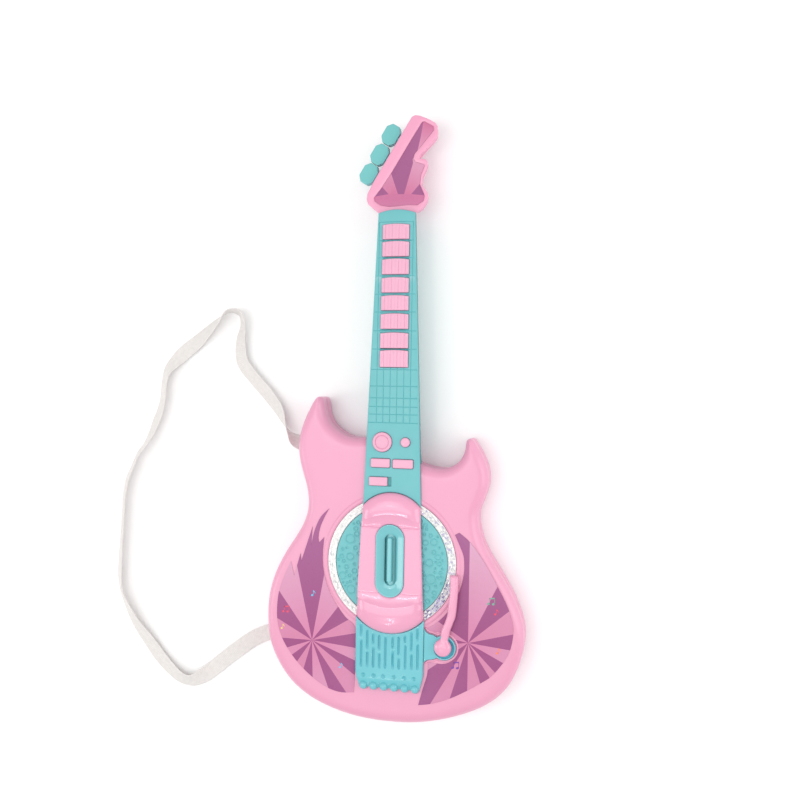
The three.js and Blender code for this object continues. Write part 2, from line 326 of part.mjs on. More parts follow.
// tail plate with its scalloped end and six ball studs
const TAIL_X = 31.8, BALLS = [-24.2, -14.5, -4.8, 4.9, 14.6, 24.3];
const tailEnd = [[TAIL_X, -228], [28.9, -240]];
BALLS.slice().reverse().forEach((x) => { for (const a of [20, -30, -90, -150, -200]) tailEnd.push([x + 4.1 * Math.cos(THREE.MathUtils.degToRad(a)), -241.4 + 4.1 * Math.sin(THREE.MathUtils.degToRad(a))]); });
tailEnd.push([-28.9, -240], [-TAIL_X, -228]);
const tailP = ccw([...coverArc(TAIL_X, COVER.y1 - GAP - 0.2, COVER.apex1 - GAP), ...tailEnd]);
let tail = cut(prism(tailP, 34.6, PLATE_TOP), cyl(0, RING_Y, RING_R + GAP, 30, COVER.under, 48));
tail = join(tail, ...BALLS.map((x) => new THREE.SphereGeometry(3.9, 8, 5).translate(x, -241.4, 37.2)));
tail = common(tail, box(-60, 60, -260, -150, 34.6, 60));
add('tailpiece', tail, TEAL, 0.4);

const cup = Array.from({ length: 18 }, (_, i) => { const a = THREE.MathUtils.degToRad(-130 + i * 260 / 17); return [WHAMMY.x + 11 * Math.cos(a), WHAMMY.y - 0.6 + 11 * Math.sin(a)]; });
let wing = prism([[TAIL_X + GAP, -214], ...cup, [TAIL_X + GAP, -190.6]], 34.6, 36.6);
wing = cut(wing, cyl(WHAMMY.x, WHAMMY.y, 9.3, 35.2, 40, 24), cyl(WHAMMY.x, WHAMMY.y, 2.8, 30, 40, 14));
add('tremolo_plate', wing, TEAL, 0.4);
add('whammy_pivot_pin', lathe([[0, 27], [4.2, 27], [4.2, 31.0], [2.4, 31.0], [2.4, 39.4], [0, 39.4]], 14).translate(WHAMMY.x, WHAMMY.y, 0), STEEL, 0.3, 1);
const ARM = spline([[54.3, -137.4], [58, -135.6], [61.9, -137.2], [62.4, -146], [62, -156], [60.6, -168], [58.6, -178], [55.6, -187.6], [53.6, -197], [48.6, -199], [47.6, -191], [49.2, -183.8], [52.4, -173.6], [54, -163.4], [54.3, -150]], 1);
let bar = join(pillow(ARM, 37.6, 42, 1.6), new THREE.SphereGeometry(WHAMMY.r, 18, 8).scale(1, 1, 0.56).translate(WHAMMY.x, WHAMMY.y, 38.6));
bar = cut(bar, box(30, 80, -220, -120, 20, 35.6), cyl(WHAMMY.x, WHAMMY.y, 2.75, 30, 39.8, 14));
add('whammy_bar', bar, PINK_DEEP, 0.3);

// ---------- speaker ----------
const SPX = -33;
add('speaker_frame', lathe([[7.5, 17], [11, 17], [17, 27], [18.5, 27], [18.5, 30.9], [16.6, 30.9], [16.6, 28.4], [10, 18.4], [7.5, 18.4], [7.5, 17]], 24).translate(SPX, RING_Y, 0), DARK, 0.5, 0.4);
add('speaker_cone', lathe([[0, 21.6], [4, 21.6], [15.9, 29.4], [15.9, 30.2], [4, 22.6], [0, 22.6]], 24).translate(SPX, RING_Y, 0), 0x222222, 0.9);
add('speaker_magnet', cyl(SPX, RING_Y, 11, 10.5, 16.7, 24), DARK, 0.4, 0.6);

// ---------- batteries ----------
[-15.4, 0, 15.4].forEach((x, i) => {
  const b = lathe([[0, -25.2], [7, -25.2], [7, 23.6], [2.7, 23.8], [2.7, 25.2], [0, 25.2]], 16);
  add(`battery_${i + 1}`, b.rotateX(i === 1 ? Math.PI / 2 : -Math.PI / 2).translate(x, -215.4, 10.2), 0x2f3436, 0.35, 0.4);
});
add('battery_contact_positive', box(-23, 23, -187.9, -187.3, 5, 15), STEEL, 0.3, 1);
add('battery_contact_negative', box(-23, 23, -243.6, -243.0, 5, 15), STEEL, 0.3, 1);
let door = prism(roundRect(-24.4, 24.4, BAY.y0 + 0.4, BAY.door - 0.4, 1), 0.25, 2.2);
add('battery_door', cut(door, cyl(0, -180.6, 3, -1, 1.2, 14), cyl(0, -180.6, 1.7, -1, 4, 10)), PINK, 0.4);
add('battery_door_screw', lathe([[0, 0.3], [2.7, 0.3], [2.7, 1.0], [1.35, 1.0], [1.35, 8.6], [0, 9.4]], 12).translate(0, -180.6, 0), STEEL, 0.3, 1);

// ---------- strap ----------
add('strap_anchor_upper', rod(-85, 3.4, 1.75, -33.7, -14.3, 10), STEEL, 0.3, 1);
add('strap_anchor_lower', rod(-111.4, 3.4, 1.75, -216.7, -197.3, 10), STEEL, 0.3, 1);
const strapLayers = STRAP.map(([x, y, deg], i) => {
  const a = STRAP[Math.max(0, i - 1)], b = STRAP[Math.min(STRAP.length - 1, i + 1)];
  const t = new THREE.Vector2(b[0] - a[0], b[1] - a[1]).normalize();
  const n = new THREE.Vector2(-t.y, t.x), th = THREE.MathUtils.degToRad(deg), c = Math.cos(th), s = Math.sin(th);
  const end = Math.min(i, STRAP.length - 1 - i);
  const z = 0.8 + STRAP_HALF_W * Math.abs(s) + (end === 0 ? 2.4 : end === 1 ? 1.1 : 0);
  return { p: [[1, 1], [-1, 1], [-1, -1], [1, -1]].map(([u, v]) => { const w = u * STRAP_HALF_W, h = v * STRAP_HALF_T; return [x + n.x * (w * c - h * s), y + n.y * (w * c - h * s), z + w * s + h * c]; }), z };
});
{
  const n = 4, pos = [], idx = [];
  strapLayers.forEach(({ p }) => p.forEach((v) => pos.push(...v)));
  for (let l = 0; l < strapLayers.length - 1; l++) for (let i = 0; i < n; i++) { const j = (i + 1) % n, a = l * n + i, b = l * n + j; idx.push(a, a + n, b + n, a, b + n, b); }
  const e = (strapLayers.length - 1) * n;
  idx.push(0, 1, 2, 0, 2, 3, e, e + 2, e + 1, e, e + 3, e + 2);
  const g = new THREE.BufferGeometry();
  g.setAttribute('position', new THREE.Float32BufferAttribute(pos, 3));
  g.setIndex(idx);
  let vol = 0;
  for (let i = 0; i < idx.length; i += 3) { const [a, b, c] = [0, 1, 2].map((k) => new THREE.Vector3(...pos.slice(idx[i + k] * 3, idx[i + k] * 3 + 3))); vol += a.dot(b.cross(c)); }
  if (vol < 0) g.setIndex(idx.map((_, i) => idx[i - (i % 3) + [0, 2, 1][i % 3]]));
  g.computeVertexNormals();
  add('strap', g, 0xf8f3f0, 0.9);
}

export default root;
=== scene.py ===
import bmesh
import bpy
import math
import numpy as np
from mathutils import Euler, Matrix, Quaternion, Vector, geometry, kdtree

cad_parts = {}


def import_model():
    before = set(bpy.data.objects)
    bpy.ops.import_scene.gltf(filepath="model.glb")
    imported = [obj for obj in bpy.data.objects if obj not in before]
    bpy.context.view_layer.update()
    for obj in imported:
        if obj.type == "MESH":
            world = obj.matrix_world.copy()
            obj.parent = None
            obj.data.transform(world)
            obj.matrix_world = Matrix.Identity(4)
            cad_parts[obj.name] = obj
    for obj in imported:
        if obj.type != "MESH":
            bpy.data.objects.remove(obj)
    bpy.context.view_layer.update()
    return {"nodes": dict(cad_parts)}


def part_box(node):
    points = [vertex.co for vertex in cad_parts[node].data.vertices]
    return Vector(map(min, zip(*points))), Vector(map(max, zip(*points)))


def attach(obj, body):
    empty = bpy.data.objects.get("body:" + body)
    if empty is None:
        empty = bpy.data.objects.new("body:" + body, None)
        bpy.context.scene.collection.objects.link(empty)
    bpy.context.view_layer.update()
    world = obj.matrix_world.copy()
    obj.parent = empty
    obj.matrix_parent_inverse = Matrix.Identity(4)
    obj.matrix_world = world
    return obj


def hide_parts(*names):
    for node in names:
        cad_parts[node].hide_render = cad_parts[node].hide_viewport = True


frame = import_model()

# ------------------------------------------------------------------ frame offset
# shapes are written in millimetres round the column's axis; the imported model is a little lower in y
_lo, _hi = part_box("light_ring")
OX = (_lo.x + _hi.x) * 500.0
OY = (_lo.y + _hi.y) * 500.0 + 128.1


def to_m(v):
    v = np.asarray(v, float)
    return (v + np.array([OX, OY, 0.0])) * 0.001


# ------------------------------------------------------------------ camera, lights, floor
sc = bpy.context.scene
sc.view_settings.view_transform = "Standard"
sc.view_settings.look = "None"

cam_data = bpy.data.cameras.new("camera")
cam = bpy.data.objects.new("camera", cam_data)
sc.collection.objects.link(cam)
cam.location = (0.18792, 0.02739, 0.83385)
cam.rotation_euler = Euler([math.radians(a) for a in (-0.3817, 12.852, 1.0093)], "XYZ")
cam_data.sensor_width = 36.0
cam_data.lens = 40.5
cam_data.clip_start = 0.01
cam_data.clip_end = 100.0
sc.camera = cam


def srgb(r, g, b, a=1.0):
    def f(c):
        c = c / 255.0
        return c / 12.92 if c <= 0.04045 else ((c + 0.055) / 1.055) ** 2.4
    return (f(r), f(g), f(b), a)


world = bpy.data.worlds.new("world")
sc.world = world
world.use_nodes = True
world.node_tree.nodes["Background"].inputs["Color"].default_value = (1.0, 0.995, 0.99, 1.0)
world.node_tree.nodes["Background"].inputs["Strength"].default_value = 0.76


def area(name, loc, target, size, power, color=(1, 1, 1), size_y=None, spin=0.0):
    d = bpy.data.lights.new(name, "AREA")
    d.energy = power
    d.color = color
    d.shape = "RECTANGLE"
    d.size = size
    d.size_y = size_y or size
    o = bpy.data.objects.new(name, d)
    sc.collection.objects.link(o)
    o.location = loc
    q = (Vector(target) - Vector(loc)).to_track_quat("-Z", "Y")
    o.rotation_euler = (q @ Quaternion((0, 0, 1), math.radians(-spin))).to_euler()
    return o


area("overhead", (-0.335, -0.05, 1.45), (-0.20, -0.05, 0), 0.90, 7.0, (1.0, 0.995, 0.99), 1.62)
area("left", (-1.15, -0.25, 0.62), (0, -0.05, 0.02), 0.5, 2.4, (1.0, 0.99, 0.985))
area("right", (1.4, 0.1, 0.62), (0, -0.03, 0.02), 1.1, 7.4, (1.0, 1.0, 1.0))
area("glint_top", (-0.33, 0.06, 1.42), (-0.1, -0.05, 0.04), 0.045, 0.55, (1, 1, 1), 0.20, 20.0)
area("glint_low", (-0.33, -0.78, 1.40), (-0.1, -0.15, 0.04), 0.045, 0.50, (1, 1, 1), 0.18, 20.0)

# ------------------------------------------------------------------ shader helpers


class Nodes:
    def __init__(self, name):
        self.mat = bpy.data.materials.new(name)
        self.mat.use_nodes = True
        self.t = self.mat.node_tree
        self.p = self.t.nodes["Principled BSDF"]
        self.coord = self.t.nodes.new("ShaderNodeTexCoord")

    def new(self, kind, **kw):
        n = self.t.nodes.new(kind)
        for k, v in kw.items():
            if k.startswith("i_"):
                n.inputs[k[2:].replace("_", " ")].default_value = v
            else:
                setattr(n, k, v)
        return n

    def link(self, a, b):
        self.t.links.new(a, b)

    def noise(self, scale, detail=3.0, rough=0.5, src=None, w=None):
        n = self.new("ShaderNodeTexNoise")
        n.inputs["Scale"].default_value = scale
        n.inputs["Detail"].default_value = detail
        n.inputs["Roughness"].default_value = rough
        self.link(src or self.coord.outputs["Object"], n.inputs["Vector"])
        return n.outputs["Fac"]

    def ramp(self, fac, stops):
        n = self.new("ShaderNodeValToRGB")
        e = n.color_ramp.elements
        while len(e) < len(stops):
            e.new(0.5)
        for el, (p, c) in zip(e, stops):
            el.position = p
            el.color = c
        self.link(fac, n.inputs["Fac"])
        return n.outputs["Color"]

    def rng(self, fac, a, b, lo=0.0, hi=1.0):
        n = self.new("ShaderNodeMapRange")
        n.inputs["From Min"].default_value = lo
        n.inputs["From Max"].default_value = hi
        n.inputs["To Min"].default_value = a
        n.inputs["To Max"].default_value = b
        self.link(fac, n.inputs["Value"])
        return n.outputs["Result"]

    def math(self, op, a, b=None):
        n = self.new("ShaderNodeMath", operation=op)
        for i, x in enumerate((a, b)):
            if x is None:
                continue
            if isinstance(x, (int, float)):
                n.inputs[i].default_value = x
            else:
                self.link(x, n.inputs[i])
        return n.outputs[0]

    def mix(self, fac, a, b, mode="MIX"):
        n = self.new("ShaderNodeMix", data_type="RGBA", blend_type=mode)
        for key, x in (("Factor", fac), ("A", a), ("B", b)):
            s = next(i for i in n.inputs if i.name == key and (i.type == ("VALUE" if key == "Factor" else "RGBA")))
            if isinstance(x, (int, float, tuple)):
                s.default_value = x
            else:
                self.link(x, s)
        return next(o for o in n.outputs if o.type == "RGBA")

    def bump(self, height, strength, dist, prev=None):
        n = self.new("ShaderNodeBump")
        n.inputs["Strength"].default_value = strength
        n.inputs["Distance"].default_value = dist
        self.link(height, n.inputs["Height"])
        if prev is not None:
            self.link(prev, n.inputs["Normal"])
        self.link(n.outputs["Normal"], self.p.inputs["Normal"])
        return n.outputs["Normal"]


def tint(c, k):
    return tuple(min(1.0, x * k) for x in c[:3]) + (1.0,)


def plastic(name, rgb, rough=0.35, var=0.05, grain=0.0, gloss_var=0.08, coat=0.0, sss=0.0, wear=0.0, spec=0.5):
    """Moulded plastic: slight mottling of the pigment, flow marks in the gloss, a fine moulded grain and paler rubbed edges."""
    m = Nodes(name)
    c = srgb(*rgb)
    big = m.noise(28.0, 4.0, 0.55)
    fine = m.noise(900.0, 2.0, 0.6)
    col = m.ramp(big, [(0.3, tint(c, 1 - var)), (0.7, tint(c, 1 + var * 0.6))])
    col = m.mix(m.rng(fine, 0.0, 0.35 * var * 10, 0.35, 0.75), col, tint(c, 1 + var))
    if wear:
        geo = m.new("ShaderNodeNewGeometry")
        edge = m.rng(geo.outputs["Pointiness"], 0.0, wear, 0.53, 0.60)
        col = m.mix(edge, col, tuple(0.35 + 0.65 * x for x in c[:3]) + (1.0,))
    m.link(col, m.p.inputs["Base Color"])
    m.link(m.rng(m.noise(60.0, 3.0), rough - gloss_var, rough + gloss_var, 0.3, 0.7), m.p.inputs["Roughness"])
    m.bump(m.noise(1500.0, 2.0, 0.7), 0.09 + grain, 0.00005)
    m.p.inputs["IOR"].default_value = 1.49
    m.p.inputs["Specular IOR Level"].default_value = spec
    if coat:
        m.p.inputs["Coat Weight"].default_value = coat
        m.p.inputs["Coat Roughness"].default_value = 0.08
    if sss:
        m.p.inputs["Subsurface Weight"].default_value = sss
        m.p.inputs["Subsurface Radius"].default_value = (0.004, 0.0018, 0.0022)
        m.p.inputs["Subsurface Scale"].default_value = 0.5
    return m.mat


def metal(name, rgb, rough=0.3, scale=700.0, aniso=0.0):
    m = Nodes(name)
    c = srgb(*rgb)
    n = m.noise(scale, 3.0, 0.6)
    m.link(m.ramp(n, [(0.35, tint(c, 0.82)), (0.65, tint(c, 1.08))]), m.p.inputs["Base Color"])
    m.link(m.rng(m.noise(220.0, 4.0), rough - 0.1, rough + 0.15, 0.3, 0.7), m.p.inputs["Roughness"])
    m.p.inputs["Metallic"].default_value = 1.0
    m.bump(n, 0.15, 0.00005)
    return m.mat


BODY_RGB, RIM_RGB, KEY_RGB, GLOSS_RGB = (226, 155, 184), (234, 160, 190), (229, 169, 194), (230, 160, 189)
TEAL_RGB, TEAL2_RGB, BACK_RGB = (106, 183, 187), (106, 189, 199), (84, 166, 168)

MAT = {
    "case": plastic("case_pink", BODY_RGB, 0.34, 0.012, gloss_var=0.025, spec=0.7),
    "head": plastic("head_pink", RIM_RGB, 0.34, 0.015, gloss_var=0.03, spec=0.7),
    "key": plastic("key_pink", KEY_RGB, 0.42, 0.03, wear=0.3),
    "gloss": plastic("gloss_pink", GLOSS_RGB, 0.22, 0.015, gloss_var=0.03, coat=0.45),
    "neck": plastic("neck_teal", TEAL_RGB, 0.44, 0.03, grain=0.05, wear=0.3),
    "neck_back": plastic("neck_back_teal", BACK_RGB, 0.42, 0.03, grain=0.05, wear=0.2),
    "trim": plastic("trim_teal", TEAL2_RGB, 0.27, 0.03, coat=0.25, wear=0.3),
    "dish": plastic("dish_teal", (116, 192, 198), 0.24, 0.02, gloss_var=0.04, coat=0.7, wear=0.15),
    "peg": plastic("peg_teal", (112, 190, 190), 0.40, 0.02, wear=0.15),
    # the next two are darker teals painted as shade: in the tail's slots and dimples, and in the deep side of the
    # tremolo cup
    "recess_painted_shade_teal": plastic("slot_teal_painted_shade", (92, 178, 192), 0.4, 0.03),
    "cup": plastic("cup_teal_painted_shade", (66, 166, 188), 0.35, 0.03),
    "disc": plastic("disc_teal", (108, 186, 190), 0.4, 0.03, wear=0.4),
    "rubber": plastic("membrane_rubber", (216, 212, 204), 0.75, 0.05, grain=0.3),
    "pcb": plastic("circuit_board", (38, 110, 66), 0.35, 0.08),
    "black": plastic("black_plastic", (40, 42, 45), 0.45, 0.1),
    "paper": plastic("speaker_paper", (38, 36, 36), 0.9, 0.2, grain=0.5),
    "jacket": plastic("battery_jacket", (46, 50, 54), 0.3, 0.08, coat=0.4),
    "steel": metal("steel", (190, 192, 194), 0.32),
    "dark_metal": metal("speaker_metal", (96, 98, 102), 0.4),
}

# ------------------------------------------------------------------ curve and mesh helpers


def catmull(P, n, closed=True):
    P = np.asarray(P, float)
    N = len(P)
    out = []
    for i in range(N if closed else N - 1):
        p1, p2 = P[i], P[(i + 1) % N]
        p0 = P[(i - 1) % N] if closed or i > 0 else 2 * p1 - p2
        p3 = P[(i + 2) % N] if closed or i < N - 2 else 2 * p2 - p1
        d = [max(np.linalg.norm((b - a)[:2]), 1e-6) ** 0.5 for a, b in ((p0, p1), (p1, p2), (p2, p3))]
        m1 = ((p1 - p0) / d[0] - (p2 - p0) / (d[0] + d[1]) + (p2 - p1) / d[1]) * d[1]
        m2 = ((p2 - p1) / d[1] - (p3 - p1) / (d[1] + d[2]) + (p3 - p2) / d[2]) * d[1]
        for k in range(n):
            t = k / n
            out.append((2 * t**3 - 3 * t**2 + 1) * p1 + (t**3 - 2 * t**2 + t) * m1 + (-2 * t**3 + 3 * t**2) * p2 + (t**3 - t**2) * m2)
    if not closed:
        out.append(P[-1])
    return np.array(out)


def signed_area(P):
    Q = np.roll(P, -1, 0)
    return 0.5 * float((P[:, 0] * Q[:, 1] - Q[:, 0] * P[:, 1]).sum())


def ccw(P):
    P = np.asarray(P, float)
    return P if signed_area(P) > 0 else P[::-1].copy()


def dense(P, step, closed=True):
    P = np.asarray(P, float)
    out = []
    n = len(P)
    for i in range(n if closed else n - 1):
        a, b = P[i], P[(i + 1) % n]
        k = max(1, int(math.ceil(np.linalg.norm(b - a) / step)))
        out += [a + (b - a) * j / k for j in range(k)]
    if not closed:
        out.append(P[-1])
    return np.array(out)


def dist(Q, P, closed=True):
    """Distance from points Q to the polyline P."""
    Q = np.asarray(Q, float)
    A = np.asarray(P, float)
    B = np.roll(A, -1, 0)
    if not closed:
        A, B = A[:-1], B[:-1]
    D = B - A
    L = np.maximum((D * D).sum(1), 1e-12)
    out = np.empty(len(Q))
    for s in range(0, len(Q), 1500):
        q = Q[s:s + 1500, None, :]
        t = np.clip(((q - A) * D).sum(2) / L, 0, 1)
        e = q - A - t[..., None] * D
        out[s:s + 1500] = np.sqrt((e * e).sum(2).min(1))
    return out


def inside(Q, P):
    Q = np.asarray(Q, float)
    x0, y0 = P[:, 0], P[:, 1]
    x1, y1 = np.roll(x0, -1), np.roll(y0, -1)
    out = np.zeros(len(Q), bool)
    for s in range(0, len(Q), 4000):
        x, y = Q[s:s + 4000, 0:1], Q[s:s + 4000, 1:2]
        c = (y0 > y) != (y1 > y)
        with np.errstate(divide="ignore", invalid="ignore"):
            xi = x0 + (y - y0) * (x1 - x0) / (y1 - y0)
        out[s:s + 4000] = (np.where(c, x < xi, False).sum(1) % 2).astype(bool)
    return out


def normals2(P, closed=True):
    a, b = np.roll(P, 1, 0), np.roll(P, -1, 0)
    if not closed:
        a[0], b[-1] = P[0], P[-1]
    t = b - a
    t /= np.maximum(np.linalg.norm(t, axis=1), 1e-9)[:, None]
    return np.stack([-t[:, 1], t[:, 0]], 1)


def inset(P, d, keep=0.985):
    """The closed outline moved inwards by d, without the places that are too narrow for it."""
    Q = P + normals2(P) * d
    return Q[dist(Q, P) > abs(d) * keep - 1e-9]


def circle(x, y, r, n=48, a0=0.0):
    a = a0 + np.arange(n) * 2 * math.pi / n
    return np.stack([x + r * np.cos(a), y + r * np.sin(a)], 1)


def stadium(hx, y0, y1, n=18, cx=0.0):
    hi, lo = max(y0, y1), min(y0, y1)
    a = np.linspace(0, math.pi, n)
    top = np.stack([cx + hx * np.cos(a), hi - hx + hx * np.sin(a)], 1)
    bot = np.stack([cx - hx * np.cos(a), lo + hx - hx * np.sin(a)], 1)
    return np.concatenate([top, bot])


def round_poly(P, r, n=5):
    """Rounds each corner of a polygon to about radius r."""
    P = ccw(P)
    N = len(P)
    out = []
    for i in range(N):
        a, b, c = P[i - 1], P[i], P[(i + 1) % N]
        u, v = (a - b), (c - b)
        lu, lv = np.linalg.norm(u), np.linalg.norm(v)
        u, v = u / lu, v / lv
        ang = math.acos(max(-1, min(1, float(u @ v))))
        t = min(r / max(math.tan(ang / 2), 1e-3), 0.45 * lu, 0.45 * lv)
        p0, p1 = b + u * t, b + v * t
        for k in range(n + 1):
            s = k / n
            out.append((1 - s) ** 2 * p0 + 2 * s * (1 - s) * b + s * s * p1)
    return np.array(out)


def rect(x0, x1, y0, y1, r=0.8, n=4):
    return round_poly([[x0, y0], [x1, y0], [x1, y1], [x0, y1]], r, n)


def soften(P, keep=62.0, n=4):
    """Curves through the points, but leaves the sharp tips as they are."""
    P = np.array(P, float)
    N = len(P)
    u = P - np.roll(P, 1, 0)
    v = np.roll(P, -1, 0) - P
    turn = np.degrees(np.abs(np.arctan2(u[:, 0] * v[:, 1] - u[:, 1] * v[:, 0], (u * v).sum(1))))
    corner = np.where(turn > keep)[0]
    if len(corner) < 2:
        return catmull(P, n)
    out = []
    for a, b in zip(corner, np.r_[corner[1:], corner[0] + N]):
        run = P[np.arange(a, b + 1) % N]
        out.append(catmull(run, n, closed=False)[:-1] if len(run) > 2 else run[:-1])
    return np.concatenate(out)


class Mesh:
    """Gathers vertices in millimetres and faces with a material index."""

    def __init__(self):
        self.v, self.f, self.m = [], [], []

    def verts(self, V):
        i = len(self.v)
        self.v.extend([tuple(map(float, p)) for p in V])
        return list(range(i, i + len(V)))

    def face(self, ids, m=0):
        self.f.append(tuple(ids))
        self.m.append(m)

    def tris(self, T, base, m=0, flip=False):
        mm = m if hasattr(m, "__len__") else [m] * len(T)
        for t, k in zip(T, mm):
            a, b, c = (int(base[x]) for x in t)
            self.face((a, c, b) if flip else (a, b, c), int(k))

    def strip(self, a, b, m=0, closed=True, flip=False):
        n = len(a)
        for i in range(n if closed else n - 1):
            j = (i + 1) % n
            q = (a[i], a[j], b[j], b[i])
            self.face(q[::-1] if flip else q, m)


def obj(name, mesh, mats, body, replaces=(), sharp=32.0, flat=False, outward=False):
    me = bpy.data.meshes.new(name)
    me.from_pydata([tuple(p) for p in to_m(mesh.v)], [], mesh.f)
    for mt in (mats if isinstance(mats, (list, tuple)) else [mats]):
        me.materials.append(mt)
    me.polygons.foreach_set("material_index", mesh.m)
    me.validate()
    if outward:
        b = bmesh.new()
        b.from_mesh(me)
        bmesh.ops.recalc_face_normals(b, faces=b.faces[:])
        b.to_mesh(me)
        b.free()
    me.polygons.foreach_set("use_smooth", [not flat] * len(me.polygons))
    if not flat:
        me.set_sharp_from_angle(angle=math.radians(sharp))
    me.update()
    o = bpy.data.objects.new(name, me)
    sc.collection.objects.link(o)
    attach(o, body)
    if replaces:
        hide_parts(*([replaces] if isinstance(replaces, str) else replaces))
    return o


class Field:
    """A surface over an outline with holes, triangulated so that every feature line is an edge."""

    def __init__(self, outline, holes=(), loops=(), lines=(), grid=4.0, points=None, gap=None):
        pts, edges = [], []

        def add(L, closed):
            i = len(pts)
            n = len(L)
            pts.extend(map(tuple, L))
            edges.extend((i + k, i + (k + 1) % n) for k in range(n if closed else n - 1))

        add(outline, True)
        for h in holes:
            add(h, True)
        for L in loops:
            if len(L) > 2:
                add(L, True)
        for L in lines:
            add(L, False)
        if grid or points is not None:
            lo, hi = outline.min(0), outline.max(0)
            G = []
            if grid:
                row = grid * 0.866
                for j, y in enumerate(np.arange(lo[1] + row / 2, hi[1], row)):
                    xs = np.arange(lo[0] + grid * (0.25 + 0.5 * (j % 2)), hi[0], grid)
                    G.append(np.stack([xs, np.full(len(xs), y)], 1))
            if points is not None:
                G.append(np.asarray(points, float))
            G = np.concatenate(G)
            G = G[inside(G, outline)]
            for h in holes:
                G = G[~inside(G, np.asarray(h))]
            kd = kdtree.KDTree(len(pts))
            for i, p in enumerate(pts):
                kd.insert((p[0], p[1], 0), i)
            kd.balance()
            need = gap if gap is not None else 0.45 * (grid or 1.0)
            G = [p for p in G if kd.find((p[0], p[1], 0))[2] > need]
            pts.extend(map(tuple, G))
        r = geometry.delaunay_2d_cdt([Vector(p) for p in pts], edges, [], 0, 1e-6)
        self.p = np.array([(v.x, v.y) for v in r[0]])
        T = np.array([f for f in r[2]], int)
        C = self.p[T].mean(1)
        keep = inside(C, outline)
        for h in holes:
            keep &= ~inside(C, np.asarray(h))
        T = T[keep]
        used = np.unique(T)
        remap = -np.ones(len(self.p), int)
        remap[used] = np.arange(len(used))
        self.p = self.p[used]
        self.t = remap[T]
        # boundary loops, in the direction of the faces
        e = {}
        for t in self.t:
            for i in range(3):
                e[(int(t[i]), int(t[(i + 1) % 3]))] = 1
        nxt = {}
        for (i, j) in e:
            if (j, i) not in e:
                nxt.setdefault(i, []).append(j)
        self.loops = []
        while nxt:
            s0 = next(iter(nxt))
            loop, cur = [s0], s0
            while True:
                k = nxt[cur].pop()
                if not nxt[cur]:
                    del nxt[cur]
                if k == s0:
                    break
                loop.append(k)
                cur = k
            self.loops.append(loop)
        self.loops.sort(key=lambda L: -abs(signed_area(self.p[L])))

    def centroids(self):
        return self.p[self.t].mean(1)


def wall(mesh, ids, xy, steps, m=0, flip=False, cap=None):
    """Side walls from a loop of vertices: steps are (move inwards, z). xy runs the way of the faces, so its left is inside."""
    nrm = normals2(xy)
    prev = ids
    for d, z in steps:
        q = xy + nrm * d
        zz = np.full(len(q), z) if np.isscalar(z) else np.asarray(z)
        cur = mesh.verts(np.column_stack([q, zz]))
        mesh.strip(prev, cur, m, flip=not flip)
        prev = cur
    if cap is not None:
        mesh.face(prev if flip else prev[::-1], m)
    return prev


def round_off(d, r, h):
    """How far a surface drops at a distance d from its edge, for an edge rounded over r by h."""
    t = 1 - np.clip(d, 0, r) / r
    return h * (1 - np.sqrt(np.maximum(0.0, 1 - t * t)))


def smooth(t):
    t = np.clip(t, 0, 1)
    return t * t * (3 - 2 * t)


def lathe(mesh, prof, n=32, m=0, xf=None):
    """A closed turned piece; prof is [(r, z), ...] from the bottom up, ends on the axis or joined up."""
    a = np.arange(n) * 2 * math.pi / n
    rings = []
    for r, z in prof:
        if r < 1e-6:
            V = np.array([[0, 0, z]], float)
        else:
            V = np.column_stack([r * np.cos(a), r * np.sin(a), np.full(n, float(z))])
        rings.append(mesh.verts(xf(V) if xf else V))
    for A, B in zip(rings, rings[1:]):
        if len(A) == 1 and len(B) == 1:
            continue
        for i in range(n):
            j = (i + 1) % n
            if len(A) == 1:
                mesh.face((A[0], B[j], B[i]), m)
            elif len(B) == 1:
                mesh.face((A[i], A[j], B[0]), m)
            else:
                mesh.face((A[i], A[j], B[j], B[i]), m)
    return rings


# ------------------------------------------------------------------ outlines (millimetres)
BODY = [
    [-24.5, -15.2], [-36, -15.3], [-46, -13.9], [-54.5, -9.6], [-61.5, -4], [-65.8, 2.5], [-68.2, 10.5], [-69.3, 17.5], [-71.3, 21.6], [-74.3, 22.3], [-77.6, 19.6],
    [-83.6, 8.5], [-88.6, -3], [-91.8, -15], [-92.7, -27], [-91.2, -38.5], [-88, -50], [-84.3, -62], [-82.3, -75], [-83.4, -87], [-88, -99.5], [-95.2, -111.5], [-103, -123.6],
    [-110, -136.5], [-115.9, -150.5], [-119.6, -165], [-121, -181], [-120.2, -198], [-117.1, -213.5], [-109.8, -229], [-99.4, -243.3], [-86.5, -254.6], [-70.2, -263.6], [-52, -270], [-34, -274],
    [-18.4, -275.7], [0, -276.2], [20, -275.2], [38, -272.2], [55, -267.6], [72, -261.2], [86.5, -253.8], [98.5, -244.8], [107.5, -234.6], [114.2, -222.4], [118.9, -208.6], [121, -194],
    [120.2, -181], [116.8, -169.5], [111, -156], [103.6, -142.8], [95.8, -130.4], [88, -118], [82, -106], [78.4, -92.5], [77.9, -80.5], [82.4, -67.5], [85.9, -56], [86.2, -45], [83.6, -35], [79.2, -25.6], [74.2, -17.6],
    [71.8, -14.2], [69.6, -13.2], [67.2, -14.3], [66.2, -18], [65.5, -23], [63.9, -28.3], [61, -33], [56.8, -37.1], [51, -40.1], [44, -41.5], [36, -41], [29, -39.3], [22.5, -37.2]]
HEAD = [
    [-23.7, 220.7], [-29.2, 210], [-29.9, 204.8], [-28.4, 200.2], [-19.5, 192.6], [-17.5, 184], [19, 184], [20.6, 192.2], [26.9, 201.8], [27.9, 206.9], [26.8, 210.1], [21.5, 216.6], [22.5, 224.6], [26.3, 233.0], [26.8, 237.2],
    [24.8, 239.6], [17.6, 240.8], [33.6, 257.8], [35.6, 261.1], [35.5, 268.8], [33.6, 271.9], [27.9, 275.5], [19.4, 279.2], [14.8, 280.2], [11.4, 278.8]]
